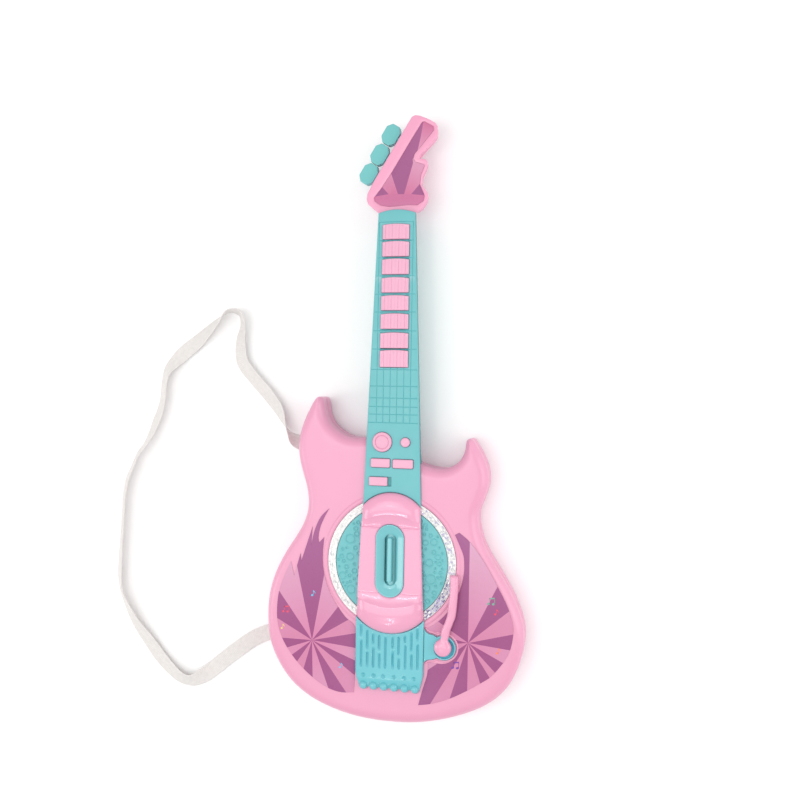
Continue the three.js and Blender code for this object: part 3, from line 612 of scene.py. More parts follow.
HEAD_LABEL = [
    [21.4, 273.3], [14.5, 262.6], [-6.8, 227.8], [-15, 215.6], [-20.1, 209], [-22.7, 205.9], [-22, 202.8], [-16.6, 198.9], [-8.1, 197.3], [8.4, 198.6], [18, 198.2], [23.6, 201.9], [24.6, 206.3], [23.6, 208.9],
    [20.0, 216.9], [20.9, 225.4], [24.4, 234.6], [15.4, 237.4], [13.4, 240.6], [14.6, 244.8], [17.6, 248.2], [32.2, 265.5], [31.8, 268.9], [23.4, 273.6]]
LABEL_L = [
    [-59.9, -81.1], [-64.2, -89], [-68.3, -98.8], [-70, -108.4], [-69.3, -113.6], [-64.4, -108.1], [-65.5, -121.2], [-65.2, -134], [-63.6, -143.5], [-60.2, -154.2], [-55.4, -163.8], [-49.6, -172.6], [-42.4, -181.4], [-33.4, -189.6], [-33.4, -250.2],
    [-45.3, -251.2], [-55.2, -249.4], [-65.2, -245], [-77.8, -236.4], [-90.6, -224.5], [-100.9, -210.9], [-106.2, -200.4], [-109, -190], [-109.7, -177.9], [-108.1, -162.1], [-103.3, -147.3], [-96.6, -132.5], [-93.2, -145.3],
    [-91.4, -139], [-87.2, -124.2], [-86.4, -131.5], [-81.1, -114.9], [-75.8, -98.5], [-77, -116.2], [-73.9, -102.4], [-67.9, -89.2]]
LABEL_R = [
    [62.3, -97.5], [58.6, -99.7], [63.1, -109.6], [66.5, -117.9], [67.4, -126], [66.8, -137], [64.2, -148], [60.6, -157.4], [55.6, -165.8], [51.6, -171.4], [45.5, -177.9], [39.8, -182.4], [34.4, -186],
    [36.2, -188.6], [46.2, -188.6], [54.9, -190.2], [61, -194.8], [63, -203.4], [60.2, -211], [51.6, -216.6], [36, -216.6], [35.2, -228.1], [31.6, -240.3], [27.4, -256.4], [40.9, -253.7], [57, -247.4], [72.9, -238.6],
    [84.5, -231.1], [92.8, -225.1], [105.2, -209.3], [110.2, -198.3], [112.5, -182.4], [111.9, -177.2], [107.5, -162.8], [96.6, -142], [86.8, -125.2], [78, -112.5], [70.5, -103.9]]
STRAP = [
    [-88.2, -24, 0], [-93, -23.4, 5], [-100.3, -21.9, 14], [-106.3, -16.5, 79], [-112, -9.4, 104], [-121.7, 8.4, 144], [-134.9, 24.7, 154], [-148.9, 39.5, 154], [-161.1, 55.5, 158], [-162.7, 75.5, 146], [-160.8, 85.4, 133], [-160.3, 95.4, 125],
    [-162.7, 102, 121], [-169.2, 104.5, 106], [-175.9, 103.5, 87], [-185.5, 95.4, 57], [-194.5, 87.4, 41], [-208.4, 75.4, 19], [-224.5, 63.2, 9], [-234.1, 53.6, 25], [-240.1, 46, 38], [-243.5, 33, 45], [-244.6, 18.8, 45], [-247.6, 5.5, 42],
    [-252.5, -6.9, 40], [-257.6, -19.2, 47], [-264.2, -30.8, 58], [-271.2, -40, 58], [-277, -53, 56], [-282.5, -66, 52], [-285.5, -80, 53], [-286.6, -100, 53], [-287.8, -123, 53], [-289.2, -146.9, 50], [-289.4, -165, 49], [-287.2, -178.8, 55],
    [-282.5, -190, 48], [-277, -201, 41], [-269.9, -212.7, 32], [-258.9, -226.4, 21], [-247.1, -241.1, 15], [-234.8, -253, 20], [-222.4, -261.7, 27], [-210.4, -264.1, 34], [-200.5, -260.4, 26], [-190, -252.5, 0], [-177.5, -242, 0], [-160.3, -228.2, 0],
    [-145.6, -217.6, 0], [-133, -211.4, 0], [-122, -208.6, 0], [-115, -207.4, 0]]

RING_Y, RING_R, RING_RI, DISC_R = -128.1, 60.0, 52.75, 52.3
NUT_Y, NUT_RISE = 190.8, 3.0
COVER = dict(x0=27.0, y0=-76.8, a0=-63.8, x1=31.4, y1=-178.0, a1=-192.2, under=35.6, top=41.4, lobe=44.6)
DISH = dict(hx=13.1, y0=-92.4, y1=-158.6)
WHAMMY = (49.8, -201.2, 7.9)
PEGS = [(-9.0, 264.6), (-19.4, 246.9), (-29.4, 229.4)]
SCREWS = [(-74, -3), (74, -45), (-98, -170), (100, -185), (0, -261)]
KEYS = [(180.2, 166.9), (164.5, 151.2), (148.7, 135.0), (131.8, 118.4), (115.5, 102.3), (99.0, 85.4), (81.7, 67.9), (65.8, 50.6)]


STRINGS = [-15.7, -9.5, -3.15, 3.15, 9.5, 15.7]


def key_outline(i, grow=0.0, r=0.7):
    """A key's outline: straight below, bowed above."""
    y1, y0 = KEYS[i]
    hx = 12.3 + 0.13 * i
    x = np.linspace(hx + grow, -hx - grow, 17)
    top = np.stack([x, y1 + 0.25 + grow - 0.85 * (x / hx) ** 2], 1)
    return round_poly(np.concatenate([[[-hx - grow, y0 - 0.2 - grow], [hx + grow, y0 - 0.2 - grow]], top]), r, 3)


def half_w(y):
    return 24.3 - 0.0375 * np.asarray(y, float)


def cover_arc(x, y, apex, n=41):
    s = abs(apex - y)
    R = (x * x + s * s) / (2 * s)
    u = np.linspace(-x, x, n)
    return np.stack([u, apex - math.copysign(1, apex - y) * (R - np.sqrt(R * R - u * u))], 1)


def nut_arc(y, rise, n=25):
    t = np.linspace(1, -1, n)
    return np.stack([half_w(y) * t, y + rise * (1 - t * t)], 1)


CURVE = catmull(BODY, 6)               # closed outline of the body
OPEN = CURVE[:-5]                      # without the stretch that the neck covers
ring_loop = lambda r, n=128: circle(0, RING_Y, r, n)

# ------------------------------------------------------------------ strap, the one free cord


def strap_piece():
    P = np.array(STRAP, float)
    # centre line: x, y and the tilt of its width
    C = catmull(P, 24, closed=False)
    seg = np.r_[0, np.cumsum(np.linalg.norm(np.diff(C[:, :2], axis=0), axis=1))]
    step = 0.42
    s = np.arange(0, seg[-1], step)
    x, y, th = (np.interp(s, seg, C[:, k]) for k in range(3))
    k = np.ones(31) / 31.0
    pad = lambda a: np.r_[np.full(15, a[0]), a, np.full(15, a[-1])]
    th = np.convolve(pad(th), k, "valid")
    th = np.radians(th)
    end = np.minimum(s, s[-1] - s)
    lift = np.interp(end, [0, 5, 12], [2.4, 1.1, 0.0])
    zc = 0.85 + 7.65 * np.abs(np.sin(th)) + lift
    t = np.gradient(np.stack([x, y], 1), axis=0)
    t /= np.linalg.norm(t, axis=1)[:, None]
    n = np.stack([-t[:, 1], t[:, 0]], 1)
    cs, sn = np.cos(th), np.sin(th)
    W = np.stack([n[:, 0] * cs, n[:, 1] * cs, sn], 1)          # across the width
    T = np.stack([-n[:, 0] * sn, -n[:, 1] * sn, cs], 1)        # through the thickness
    C3 = np.stack([x, y, zc], 1)
    us = np.array([-1, -0.985, -0.93, -0.84, -0.5, 0, 0.5, 0.84, 0.93, 0.985, 1.0])
    half_w_, half_t = 7.6, 0.5
    prof = np.array([0.25, 0.72, 1.0, 0.86, 0.86, 0.86, 0.86, 0.86, 1.0, 0.72, 0.25])
    rib = 0.16 * np.cos(2 * math.pi * s / 1.68)                 # woven ribs run across the tape
    m = Mesh()
    rows = []
    for i in range(len(s)):
        up = half_t * prof + rib[i] * (np.abs(us) < 0.9)
        dn = half_t * prof - rib[i] * (np.abs(us) < 0.9) * -1.0
        top = C3[i] + np.outer(us * half_w_, W[i]) + np.outer(up, T[i])
        bot = C3[i] + np.outer(us[::-1] * half_w_, W[i]) - np.outer(dn[::-1], T[i])
        rows.append(m.verts(np.concatenate([top, bot])))
    for a, b in zip(rows, rows[1:]):
        m.strip(a, b, flip=True)
    m.face(rows[0])
    m.face(rows[-1][::-1])
    mt = Nodes("strap_webbing")
    c = srgb(224, 220, 217)
    w = mt.noise(260.0, 4.0, 0.6)
    yarn = mt.noise(2600.0, 2.0, 0.5)
    mt.link(mt.ramp(w, [(0.3, tint(c, 0.93)), (0.7, tint(c, 1.02))]), mt.p.inputs["Base Color"])
    mt.link(mt.rng(yarn, 0.72, 0.95, 0.3, 0.7), mt.p.inputs["Roughness"])
    mt.p.inputs["Sheen Weight"].default_value = 0.35
    mt.p.inputs["Sheen Roughness"].default_value = 0.5
    b1 = mt.bump(yarn, 0.5, 0.00012)
    o = obj("strap_tape", m, mt.mat, "case", "strap", sharp=60)
    path = to_m(C3)
    length = float(np.linalg.norm(np.diff(path, axis=0), axis=1).sum())
    return mt.mat, length


MAT["strap"], STRAP_LENGTH = strap_piece()

# ------------------------------------------------------------------ body shells
EPS = 0.04


def body_front():
    slot = np.array([[22.3, -38.2], [22.3, -61.5], [-22.3, -61.5], [-22.3, -16.0]])
    outline = np.concatenate([OPEN, dense(slot, 3.0, closed=False)])
    loops = []
    W, drop = 8.6, 6.6
    for d in (0.25, 0.7, 1.3, 2.1, 3.1, 4.3, 5.6, 7.1, W):
        L = OPEN + normals2(OPEN, False) * d
        ok = (dist(L, OPEN, False) > 0.985 * d) & ~((np.abs(L[:, 0]) < 22.6) & (L[:, 1] > -61.8))
        # keep the runs as open lines
        run = []
        for p, k in zip(L, ok):
            if k:
                run.append(p)
            else:
                if len(run) > 1:
                    loops.append(np.array(run))
                run = []
        if len(run) > 1:
            loops.append(np.array(run))
    wing = wing_outline()
    wing_out = [inset(wing, -d) for d in (0.35, 0.9, 1.5, 2.1, 2.7)]
    rings = [ring_loop(r) for r in (RING_R + 0.3, RING_R + 0.3 + EPS)]
    holes = [rect(-12.5, 12.5, -153, -97, 0.5), circle(WHAMMY[0], WHAMMY[1], 2.8, 24)]
    close = [rings[0], rings[1]]
    # the bead's lines stop short of the slot in the column
    arcs = []
    for r in (60.9, 61.7, 62.6, 63.5, 64.3, 64.9):
        a = np.radians(np.linspace(90 + 26, 450 - 26, 120))
        arcs.append(np.stack([r * np.cos(a), RING_Y + r * np.sin(a)], 1))
    F = Field(outline, holes, close, [L for L in loops if len(L) > 1] + arcs + [np.vstack([w, w[:1]]) for w in wing_out], grid=4.2)
    p = F.p
    d = dist(p, OPEN, False)
    t = 1 - np.clip(d, 0, W) / W
    z = 34.0 - 1.35 * t - (drop - 1.35) * t ** 3.1
    r = np.hypot(p[:, 0], p[:, 1] - RING_Y)
    bead = np.clip((r - 60.34) / 4.5, 0, 1)
    z = z + np.where((r > 60.3) & (r < 64.9) & (np.abs(p[:, 0]) > 20), 0.95 * np.sin(math.pi * bead) ** 0.75, 0.0)
    dw = dist(p, wing)
    inw = inside(p, wing)
    bw = np.clip((dw - 0.35) / 2.35, 0, 1)
    z = np.where(~inw & (dw > 0.35) & (dw < 2.7), np.maximum(z, 34 + 0.9 * np.sin(math.pi * bw) ** 0.7), z)
    z = np.where(r <= RING_R + 0.3 + EPS / 2, 32.4, z)
    m = Mesh()
    ids = m.verts(np.column_stack([p, z]))
    m.tris(F.t, ids)
    L = F.loops[0]
    wall(m, [ids[i] for i in L], p[L], [(0.0, 24.5), (0.0, 20.5), (0.0, 17.0), (0.12, 16.55), (0.4, 16.2)])
    for L in F.loops[1:]:
        wall(m, [ids[i] for i in L], p[L], [(0.0, 31.2)])
    o = obj("body_front_case", m, MAT["case"], "case", "body_front_shell", sharp=30)
    shell(o, 2.2)
    return o


def shell(o, t):
    s = o.modifiers.new("wall", "SOLIDIFY")
    s.thickness = t * 0.001
    s.offset = -1.0
    s.use_rim = True
    s.use_even_offset = False
    return s


def wing_outline():
    x, y, _ = WHAMMY
    a = np.radians(np.linspace(-122, 124, 44))
    cup = np.stack([x + 0.3 + 11 * np.cos(a), y - 0.8 + 11 * np.sin(a)], 1)
    top = catmull(np.array([cup[-1], [40.0, -190.9], [36.6, -190.3], [33.8, -188.6], [32.1, -186.2]]), 6, closed=False)
    bot = catmull(np.array([[32.1, -216.8], [33.8, -214.9], [36.6, -213.6], [40.0, -213.1], cup[0]]), 6, closed=False)
    return ccw(np.concatenate([cup[1:-1], top, bot]))


def body_rear():
    outline = CURVE
    W, rise = 6.0, 5.0
    loops = [inset(CURVE, d) for d in (0.2, 0.6, 1.2, 2.0, 3.0, 4.3, W)]
    bay = rect(-24.9, 24.9, -245.4, -175.5, 1.2)
    hole = rect(-23.2, 23.2, -243.6, -187.0, 1.0)
    r1 = np.array([[-110, -34], [-79.5, -34], [-79.5, -14], [-110, -14]], float)
    r2 = np.array([[-135, -217], [-106, -217], [-106, -197], [-135, -197]], float)
    bores = [circle(x, y, 3.7, 32) for x, y in SCREWS]
    inner = [circle(x, y, 3.7 - EPS, 32) for x, y in SCREWS]
    # a shallow panel line follows the outline
    line = inset(CURVE, 14.0)
    grooves = [inset(CURVE, 13.5), line, inset(CURVE, 14.5)]
    F = Field(outline, [hole] + inner, loops + grooves + [bay, inset(bay, EPS)] + bores,
              [np.vstack([r1, r1[:1]]), np.vstack([r2, r2[:1]]), np.vstack([inset_rect(r1, EPS), inset_rect(r1, EPS)[:1]]), np.vstack([inset_rect(r2, EPS), inset_rect(r2, EPS)[:1]])], grid=5.0)
    p = F.p
    d = dist(p, CURVE)
    z = rise * (1 - np.clip(d, 0, W) / W) ** 2.2
    g = dist(p, line)
    z = np.where((d > 10) & (g < 0.2), 0.45, z)
    z = np.where(inside(p, inset(bay, EPS / 2)), 2.5, z)
    for x, y in SCREWS:
        z = np.where(np.hypot(p[:, 0] - x, p[:, 1] - y) < 3.7 - EPS / 2, 3.4, z)
    for R in (r1, r2):
        q = inset_rect(R, EPS / 2)
        z = np.where(inside(p, q), 6.4, z)
    m = Mesh()
    ids = m.verts(np.column_stack([p, z]))
    m.tris(F.t, ids, flip=True)
    L = F.loops[0]
    zt = z[L]
    wall(m, [ids[i] for i in L], p[L], [(0.0, np.maximum(zt, 8.0)), (0.0, 12.0), (0.0, 15.0), (0.12, 15.5), (0.4, 15.8)], flip=True)
    for L in F.loops[1:]:
        depth = 9.0 if len(L) > 36 or abs(signed_area(p[L])) > 200 else 4.6
        wall(m, [ids[i] for i in L], p[L], [(0.0, depth)], flip=True)
    o = obj("body_rear_case", m, MAT["case"], "case", "body_rear_shell", sharp=30)
    shell(o, 2.2)
    return o


def inset_rect(R, e):
    x0, y0 = R.min(0)
    x1, y1 = R.max(0)
    return np.array([[x0 + e, y0 + e], [x1 - e, y0 + e], [x1 - e, y1 - e], [x0 + e, y1 - e]])


body_front()
body_rear()

# ------------------------------------------------------------------ neck
STRING_U = [-0.689, -0.421, -0.136, 0.136, 0.421, 0.689]
FRETS_LOW = [48.2, 33.1, 22.3, 14.4, 7.4, -0.2]
FRETS_KEYS = [182.4, 165.7, 149.95, 133.4, 116.95, 100.65, 83.55, 66.85]


def board():
    top = nut_arc(NUT_Y, NUT_RISE)
    hb = float(half_w(-76.5)) - 0.05
    bot = cover_arc(hb, -76.5, COVER["a0"] + 0.3)
    left = np.array([[-half_w(y), y] for y in np.linspace(NUT_Y, -76.5, 90)[1:-1]])
    right = np.array([[half_w(y), y] for y in np.linspace(-76.5, NUT_Y, 90)[1:-1]])
    outline = ccw(np.concatenate([top, left, bot, right]))
    outline = round_corners_keep(outline)
    holes = []
    for i in range(len(KEYS)):
        holes.append(key_outline(i, 0.32, 0.5))
    holes += [circle(-9.6, -17.9, 9.35, 48), circle(12, -17.7, 4.62, 32), rect(-20.25, -1.65, -41.45, -32.65, 1.5), rect(0.25, 19.75, -41.75, -32.95, 1.5),
              rect(-21.6, -0.4, -58.2, -49.5, 1.0)]
    rims = [inset(ccw(h), -0.35) for h in holes]
    loops = [inset(outline, d) for d in (0.15, 0.4, 0.75, 1.2)]
    segs = []
    for x in STRINGS:
        segs.append(((x, -0.2), (x, 182.4 if abs(x) > 13 else 49.6)))
    for y in FRETS_LOW:
        segs.append(((-half_w(y) + 1.4, y), (half_w(y) - 1.4, y)))
    for y in FRETS_KEYS:
        segs.append(((-half_w(y) + 1.4, y), (half_w(y) - 1.4, y)))
    lines = []
    gw = 0.42
    for a, b in segs:
        a, b = np.array(a, float), np.array(b, float)
        t = (b - a) / np.linalg.norm(b - a)
        n = np.array([-t[1], t[0]])
        for off in (-gw, 0, gw):
            lines.append(dense(np.array([a + n * off, b + n * off]), 5.0, closed=False))
    F = Field(outline, holes, loops + rims, lines, grid=4.0, gap=0.7)
    p = F.p
    d = dist(p, outline)
    z = 37.5 - 0.8 * (p[:, 0] / half_w(p[:, 1])) ** 2 - round_off(d, 1.2, 1.0)
    for i, h in enumerate(holes):
        dh = dist(p, ccw(h))
        z -= 0.22 * (1 - np.clip(dh / 0.35, 0, 1))
    cutd = np.zeros(len(p))
    for a, b in segs:
        ds = dist(p, np.array([a, b], float), closed=False)
        cutd = np.maximum(cutd, 0.42 * (1 - np.clip(ds / gw, 0, 1)))
    z = z - cutd
    # the bars between the keys lie deeper than the board's face
    for (ya, yb) in zip([k[1] for k in KEYS[:-1]], [k[0] for k in KEYS[1:]]):
        bar = (p[:, 1] < ya - 0.45) & (p[:, 1] > yb + 0.1) & (np.abs(p[:, 0]) < 12.2)
        z = np.where(bar, z - 1.0, z)
    m = Mesh()
    ids = m.verts(np.column_stack([p, z]))
    m.tris(F.t, ids)
    L = F.loops[0]
    xy = p[L]
    # beside the neck the sides lean in a little and reach down to the back half; over the body they stop at the face
    on_body = xy[:, 1] < np.where(xy[:, 0] < 0, -15.0, -37.0)
    low = np.where(on_body, 34.15, 24.2)
    mid1 = np.where(on_body, 35.6, 33.0)
    mid2 = np.where(on_body, 34.6, 28.6)
    nrm = normals2(xy)
    prev = [ids[i] for i in L]
    for zz, dd in ((mid1, np.zeros(len(L))), (mid2, np.where(on_body, 0, 0.55)), (low, np.where(on_body, 0, 1.6))):
        cur = m.verts(np.column_stack([xy + nrm * dd[:, None], zz]))
        m.strip(prev, cur, m=1, flip=True)
        prev = cur
    for L in F.loops[1:]:
        wall(m, [ids[i] for i in L], p[L], [(0.0, 33.2)])
    # the side walls get a darker copy of the neck's teal: painted shade on the walls that turn away from the light
    side = plastic("neck_side_painted_shade", (62, 134, 136), 0.42, 0.02)
    o = obj("neck_front", m, [MAT["neck"], side], "case", "neck_fretboard", sharp=28)
    s = shell(o, 1.4)
    return o


def round_corners_keep(P):
    return P


def neck_back():
    """Back half of the neck: a D section that fills out into a heel where it meets the body."""
    n_s, n_y = 36, 90
    m = Mesh()
    rows = []
    for j in range(n_y + 1):
        t = j / n_y
        ring = []
        for i in range(n_s + 1):
            a = math.pi * i / n_s
            cx = math.cos(a)
            ym = -22.0 + t * (NUT_Y + 22)
            hw = float(half_w(ym))
            heel = float(smooth((22.0 - (ym + 26)) / 34.0)) if ym < 30 else 0.0
            ex = 2.2 + 7.0 * heel                       # squarer towards the body
            sx = math.copysign(abs(cx) ** (2 / ex), cx)
            sz = abs(math.sin(a)) ** (2 / ex)
            x = sx * (hw - 1.62 * (1 - heel * 0.6))
            y_end = -15.0 + (x + 24.5) / 47.0 * (-22.0) + 0.5
            y_nut = NUT_Y + NUT_RISE * (1 - (x / hw) ** 2) - 0.1
            y = y_end + t * (y_nut - y_end)
            z = 23.95 - sz * (23.95 - 15.1)
            ring.append((x, y, z))
        rows.append(m.verts(ring))
    for a, b in zip(rows, rows[1:]):
        m.strip(a, b, closed=False, flip=False)
    # flat top where it meets the front half
    for a, b in zip(rows, rows[1:]):
        m.face((a[-1], a[0], b[0], b[-1]))
    m.face(rows[0][::-1])
    m.face(rows[-1])
    return obj("neck_back", m, MAT["neck_back"], "case", "neck_rear", sharp=35)


board()
neck_back()

# ------------------------------------------------------------------ keys and controls


def cap_piece(name, P, top, z0, r, h, body, node, mat, crown=None, grooves=(), loops=(), zfun=None, holes_grid=2.6, skirt=None, depth=None):
    """A pressed cap: an outline with a rounded top edge, crown and grooves, and a skirt."""
    ds = [r * k for k in (0.08, 0.25, 0.5, 0.75, 1.0)]
    L = [inset(P, d) for d in ds] + list(loops)
    lines = []
    gw = 0.4
    for a, b in grooves:
        a, b = np.array(a, float), np.array(b, float)
        t = (b - a) / np.linalg.norm(b - a)
        n = np.array([-t[1], t[0]])
        for off in (-gw, 0, gw):
            lines.append(dense(np.array([a + n * off, b + n * off]), 3.0, closed=False))
    F = Field(P, (), L, lines, grid=holes_grid, gap=0.6)
    p = F.p
    d = dist(p, P)
    z = top - round_off(d, r, h)
    if crown is not None:
        z = z - crown(p)
    if zfun is not None:
        z = z + zfun(p, d)
    g = np.zeros(len(p))
    for (a, b), dg in zip(grooves, depth or [0.36] * len(grooves)):
        g = np.maximum(g, dg * (1 - np.clip(dist(p, np.array([a, b], float), closed=False) / gw, 0, 1)))
    z = z - g
    m = Mesh()
    ids = m.verts(np.column_stack([p, z]))
    m.tris(F.t, ids)
    L0 = F.loops[0]
    zt = z[L0]
    steps = [(0.0, np.minimum(zt, (top + z0) / 2)), (0.0, z0 + 1.0), (0.15, z0 + 0.2), (0.4, z0)]
    if skirt:
        steps = [(0.0, z0 + 2.0), (-skirt, z0 + 1.7), (-skirt, z0 + 0.2), (-skirt + 0.25, z0)]
    wall(m, [ids[i] for i in L0], p[L0], steps, cap=True)
    return obj(name, m, mat, body, node, sharp=28)


for i, (y1, y0) in enumerate(KEYS):
    hx = 12.3 + 0.13 * i
    cap_piece(f"fret_key_cap_{i + 1}", dense(key_outline(i, 0.0, 0.45), 2.0), 39.3, 31.7, 0.95, 0.75, f"fret_key_{i + 1}", f"fret_key_{i + 1}", MAT["key"],
              crown=lambda p, hx=hx: 0.6 * (p[:, 0] / hx) ** 2, grooves=[((x, y0 + 0.4), (x, y1 - 0.2)) for x in STRINGS[1:5]] + [((x, y0 + 0.6), (x, y1 - 0.5)) for x in (-11.2, -6.3, 0.01, 6.3, 11.2)], depth=[0.36] * 4 + [0.14] * 5, skirt=0.6)

cap_piece("button_cap_round_large", circle(-9.6, -17.9, 9.0, 72), 39.4, 31.8, 1.6, 1.1, "button_round_large", "button_round_large", MAT["key"],
          loops=[circle(-9.6, -17.9, r, 56) for r in (6.6, 6.25, 5.9, 5.5, 4.4, 3.0, 1.5)], holes_grid=3.0,
          zfun=lambda p, d: (lambda r: -0.75 * np.exp(-((r - 6.2) / 0.38) ** 2) + np.where(r < 5.9, 0.55 * (1 - (r / 5.9) ** 2), 0.0))(np.hypot(p[:, 0] + 9.6, p[:, 1] + 17.9)))
cap_piece("button_cap_round_small", circle(12, -17.7, 4.3, 48), 39.2, 31.8, 1.1, 0.9, "button_round_small", "button_round_small", MAT["key"],
          loops=[circle(12, -17.7, r, 36) for r in (2.6, 1.4)], holes_grid=2.0, zfun=lambda p, d: 0.25 * (1 - (np.hypot(p[:, 0] - 12, p[:, 1] + 17.7) / 4.3) ** 2))
cap_piece("button_cap_left", rect(-19.9, -2.0, -41.1, -33.0, 1.3, 5), 39.1, 31.8, 0.9, 0.8, "button_rect_left", "button_rect_left", MAT["key"],
          crown=lambda p: 0.3 * ((p[:, 1] + 37.05) / 4.05) ** 2)
cap_piece("button_cap_right", rect(0.6, 19.4, -41.4, -33.3, 1.3, 5), 39.1, 31.8, 0.9, 0.8, "button_rect_right", "button_rect_right", MAT["key"],
          crown=lambda p: 0.3 * ((p[:, 1] + 37.35) / 4.05) ** 2)
cap_piece("slide_switch_cap", rect(-21.2, -4.2, -57.8, -49.9, 0.9, 4), 38.9, 35.6, 0.7, 0.6, "slide_switch_knob", "slide_switch_knob", MAT["key"],
          crown=lambda p: 0.35 * (1 - ((p[:, 0] + 12.7) / 8.5) ** 2))
cap_piece("slide_switch_shield", rect(-24.6, -0.5, -58.9, -48.8, 0.4, 3), 35.7, 34.9, 0.1, 0.1, "slide_switch_knob", (), MAT["neck_back"])

# ------------------------------------------------------------------ headstock
HEAD_LOOP = None


def soft_poly(P, r, step):
    return dense(round_poly(np.array(P, float), r, 6), step)


def head():
    P = soft_poly(HEAD, 2.4, 1.6)
    lab = soft_poly(HEAD_LABEL, 1.6, 1.6)
    rec = inset(lab, -0.3)
    rec2 = inset(lab, -0.3 + EPS)
    lip = inset(lab, -0.9)
    nut = nut_arc(NUT_Y + 0.3, NUT_RISE)
    # outline above the neck's end, which the head wraps
    keep = P[:, 1] > 191.2
    hx = float(half_w(NUT_Y)) + 0.35
    F_out = []
    left = [p for p in P if p[1] > 192.2]
    # order the outline from the right of the nut round to the left
    idx = [i for i in range(len(P)) if P[i, 1] > 192.6]
    start = next(i for i in idx if (i - 1) % len(P) not in idx)
    ordered = []
    k = start
    while k in idx:
        ordered.append(P[k])
        k = (k + 1) % len(P)
    ordered = np.array(ordered)
    arc = nut[::-1] if ordered[-1, 0] < 0 else nut
    outline = ccw(np.concatenate([ordered, arc]))
    loops = []
    rim = ordered
    for d in (0.1, 0.3, 0.6, 0.9, 1.3):
        L = rim + normals2(rim, False) * d * (1 if signed_area(np.concatenate([ordered, arc])) > 0 else -1)
        ok = (dist(L, rim, False) > 0.985 * d) & inside(L, outline)
        run = []
        for p, g in zip(L, ok):
            if g:
                run.append(p)
            else:
                if len(run) > 1:
                    loops.append(np.array(run))
                run = []
        if len(run) > 1:
            loops.append(np.array(run))
    F = Field(outline, (), [rec, rec2, lip], loops, grid=3.4)
    p = F.p
    d = dist(p, rim, False)
    z = 32.0 - round_off(d, 1.3, 1.1)
    dl = dist(p, rec)
    il = inside(p, rec2) | (dist(p, rec2) < 1e-3)
    z = np.where(il, 31.1, z - 0.25 * (1 - np.clip(dl / 0.6, 0, 1)))
    m = Mesh()
    ids = m.verts(np.column_stack([p, z]))
    m.tris(F.t, ids)
    L = F.loops[0]
    wall(m, [ids[i] for i in L], p[L], [(0.6, 27.5), (1.05, 25.0), (1.2, 24.0), (1.3, 23.75), (1.45, 23.55)])
    o = obj("head_front_case", m, MAT["head"], "case", "head_front_shell", sharp=30)
    shell(o, 1.6)
    # back half
    outline = inset(outline, 1.8)
    ins = []
    for dd in (0.3, 0.8, 1.5, 2.4, 3.4):
        q = inset(outline, dd)
        ins.append(q)
    F = Field(outline, (), ins, (), grid=4.0)
    p = F.p
    d = dist(p, outline)
    z = 15.5 + round_off(d, 3.4, 3.2)
    m = Mesh()
    ids = m.verts(np.column_stack([p, z]))
    m.tris(F.t, ids, flip=True)
    L = F.loops[0]
    wall(m, [ids[i] for i in L], p[L], [(-0.4, 20.5), (-0.6, 22.4), (-0.55, 23.0), (-0.4, 23.2)], flip=True)
    o = obj("head_rear_case", m, MAT["head"], "case", "head_rear_shell", sharp=30)
    shell(o, 1.6)


head()

PEG_DIR = np.array([-0.856, 0.517])
PEG_DIR /= np.linalg.norm(PEG_DIR)
PEG_ACR = np.array([-PEG_DIR[1], PEG_DIR[0]])


def peg(i, cx, cy):
    a, b = 7.5, 9.7
    P = round_poly(np.array([[-a, -b + 4.6], [-a + 4.0, -b], [a - 4.0, -b], [a, -b + 4.6], [a, b - 4.6], [a - 4.0, b], [-a + 4.0, b], [-a, b - 4.6]]), 1.2, 4)
    P = dense(P, 1.6)
    xf = lambda V: np.column_stack([np.outer(V[:, 0], PEG_DIR) + np.outer(V[:, 1], PEG_ACR) + np.array([cx, cy]), V[:, 2] + 23.4])
    m = Mesh()
    loops = [inset(P, d) for d in (0.12, 0.3, 0.55, 0.8, 1.6, 3.2)]
    F = Field(P, (), loops, (), grid=2.6, gap=0.35)
    d = dist(F.p, P)
    zt = 3.8 - round_off(d, 0.8, 0.65)
    ids = m.verts(xf(np.column_stack([F.p, zt])))
    m.tris(F.t, ids)
    L = F.loops[0]
    nrm = normals2(F.p[L])
    prev = [ids[k] for k in L]
    for dd, z in ((-0.1, 1.6), (-0.1, -1.6)):
        cur = m.verts(xf(np.column_stack([F.p[L] + nrm * dd, np.full(len(L), z)])))
        m.strip(prev, cur, flip=True)
        prev = cur
    bot = m.verts(xf(np.column_stack([F.p, -zt])))
    m.strip(prev, [bot[k] for k in L], flip=True)
    m.tris(F.t, bot, flip=True)
    # stem with a collar
    def stem_xf(V):
        u = -V[:, 2]
        return np.column_stack([np.outer(u, PEG_DIR) + np.outer(V[:, 0], PEG_ACR) + np.array([cx, cy]), V[:, 1] + 23.4])
    lathe(m, [(0, 6.5), (2.45, 6.5), (2.45, 8.2), (3.3, 8.6), (3.3, 9.6), (2.45, 10.0), (2.45, 13.7), (3.9, 13.7), (3.9, 15.0), (2.45, 15.0), (2.45, 19.0), (0, 19.0)][::-1], 28, 0, stem_xf)
    obj(f"tuning_peg_knob_{i + 1}", m, MAT["peg"], f"tuning_peg_{i + 1}", f"tuning_peg_{i + 1}", sharp=28)


for i, (x, y) in enumerate(PEGS):
    peg(i, x, y)

# ------------------------------------------------------------------ strum cover, dish, lever


def cover_outline():
    return ccw(np.concatenate([cover_arc(COVER["x0"], COVER["y0"], COVER["a0"]), cover_arc(COVER["x1"], COVER["y1"], COVER["a1"])[::-1]]))


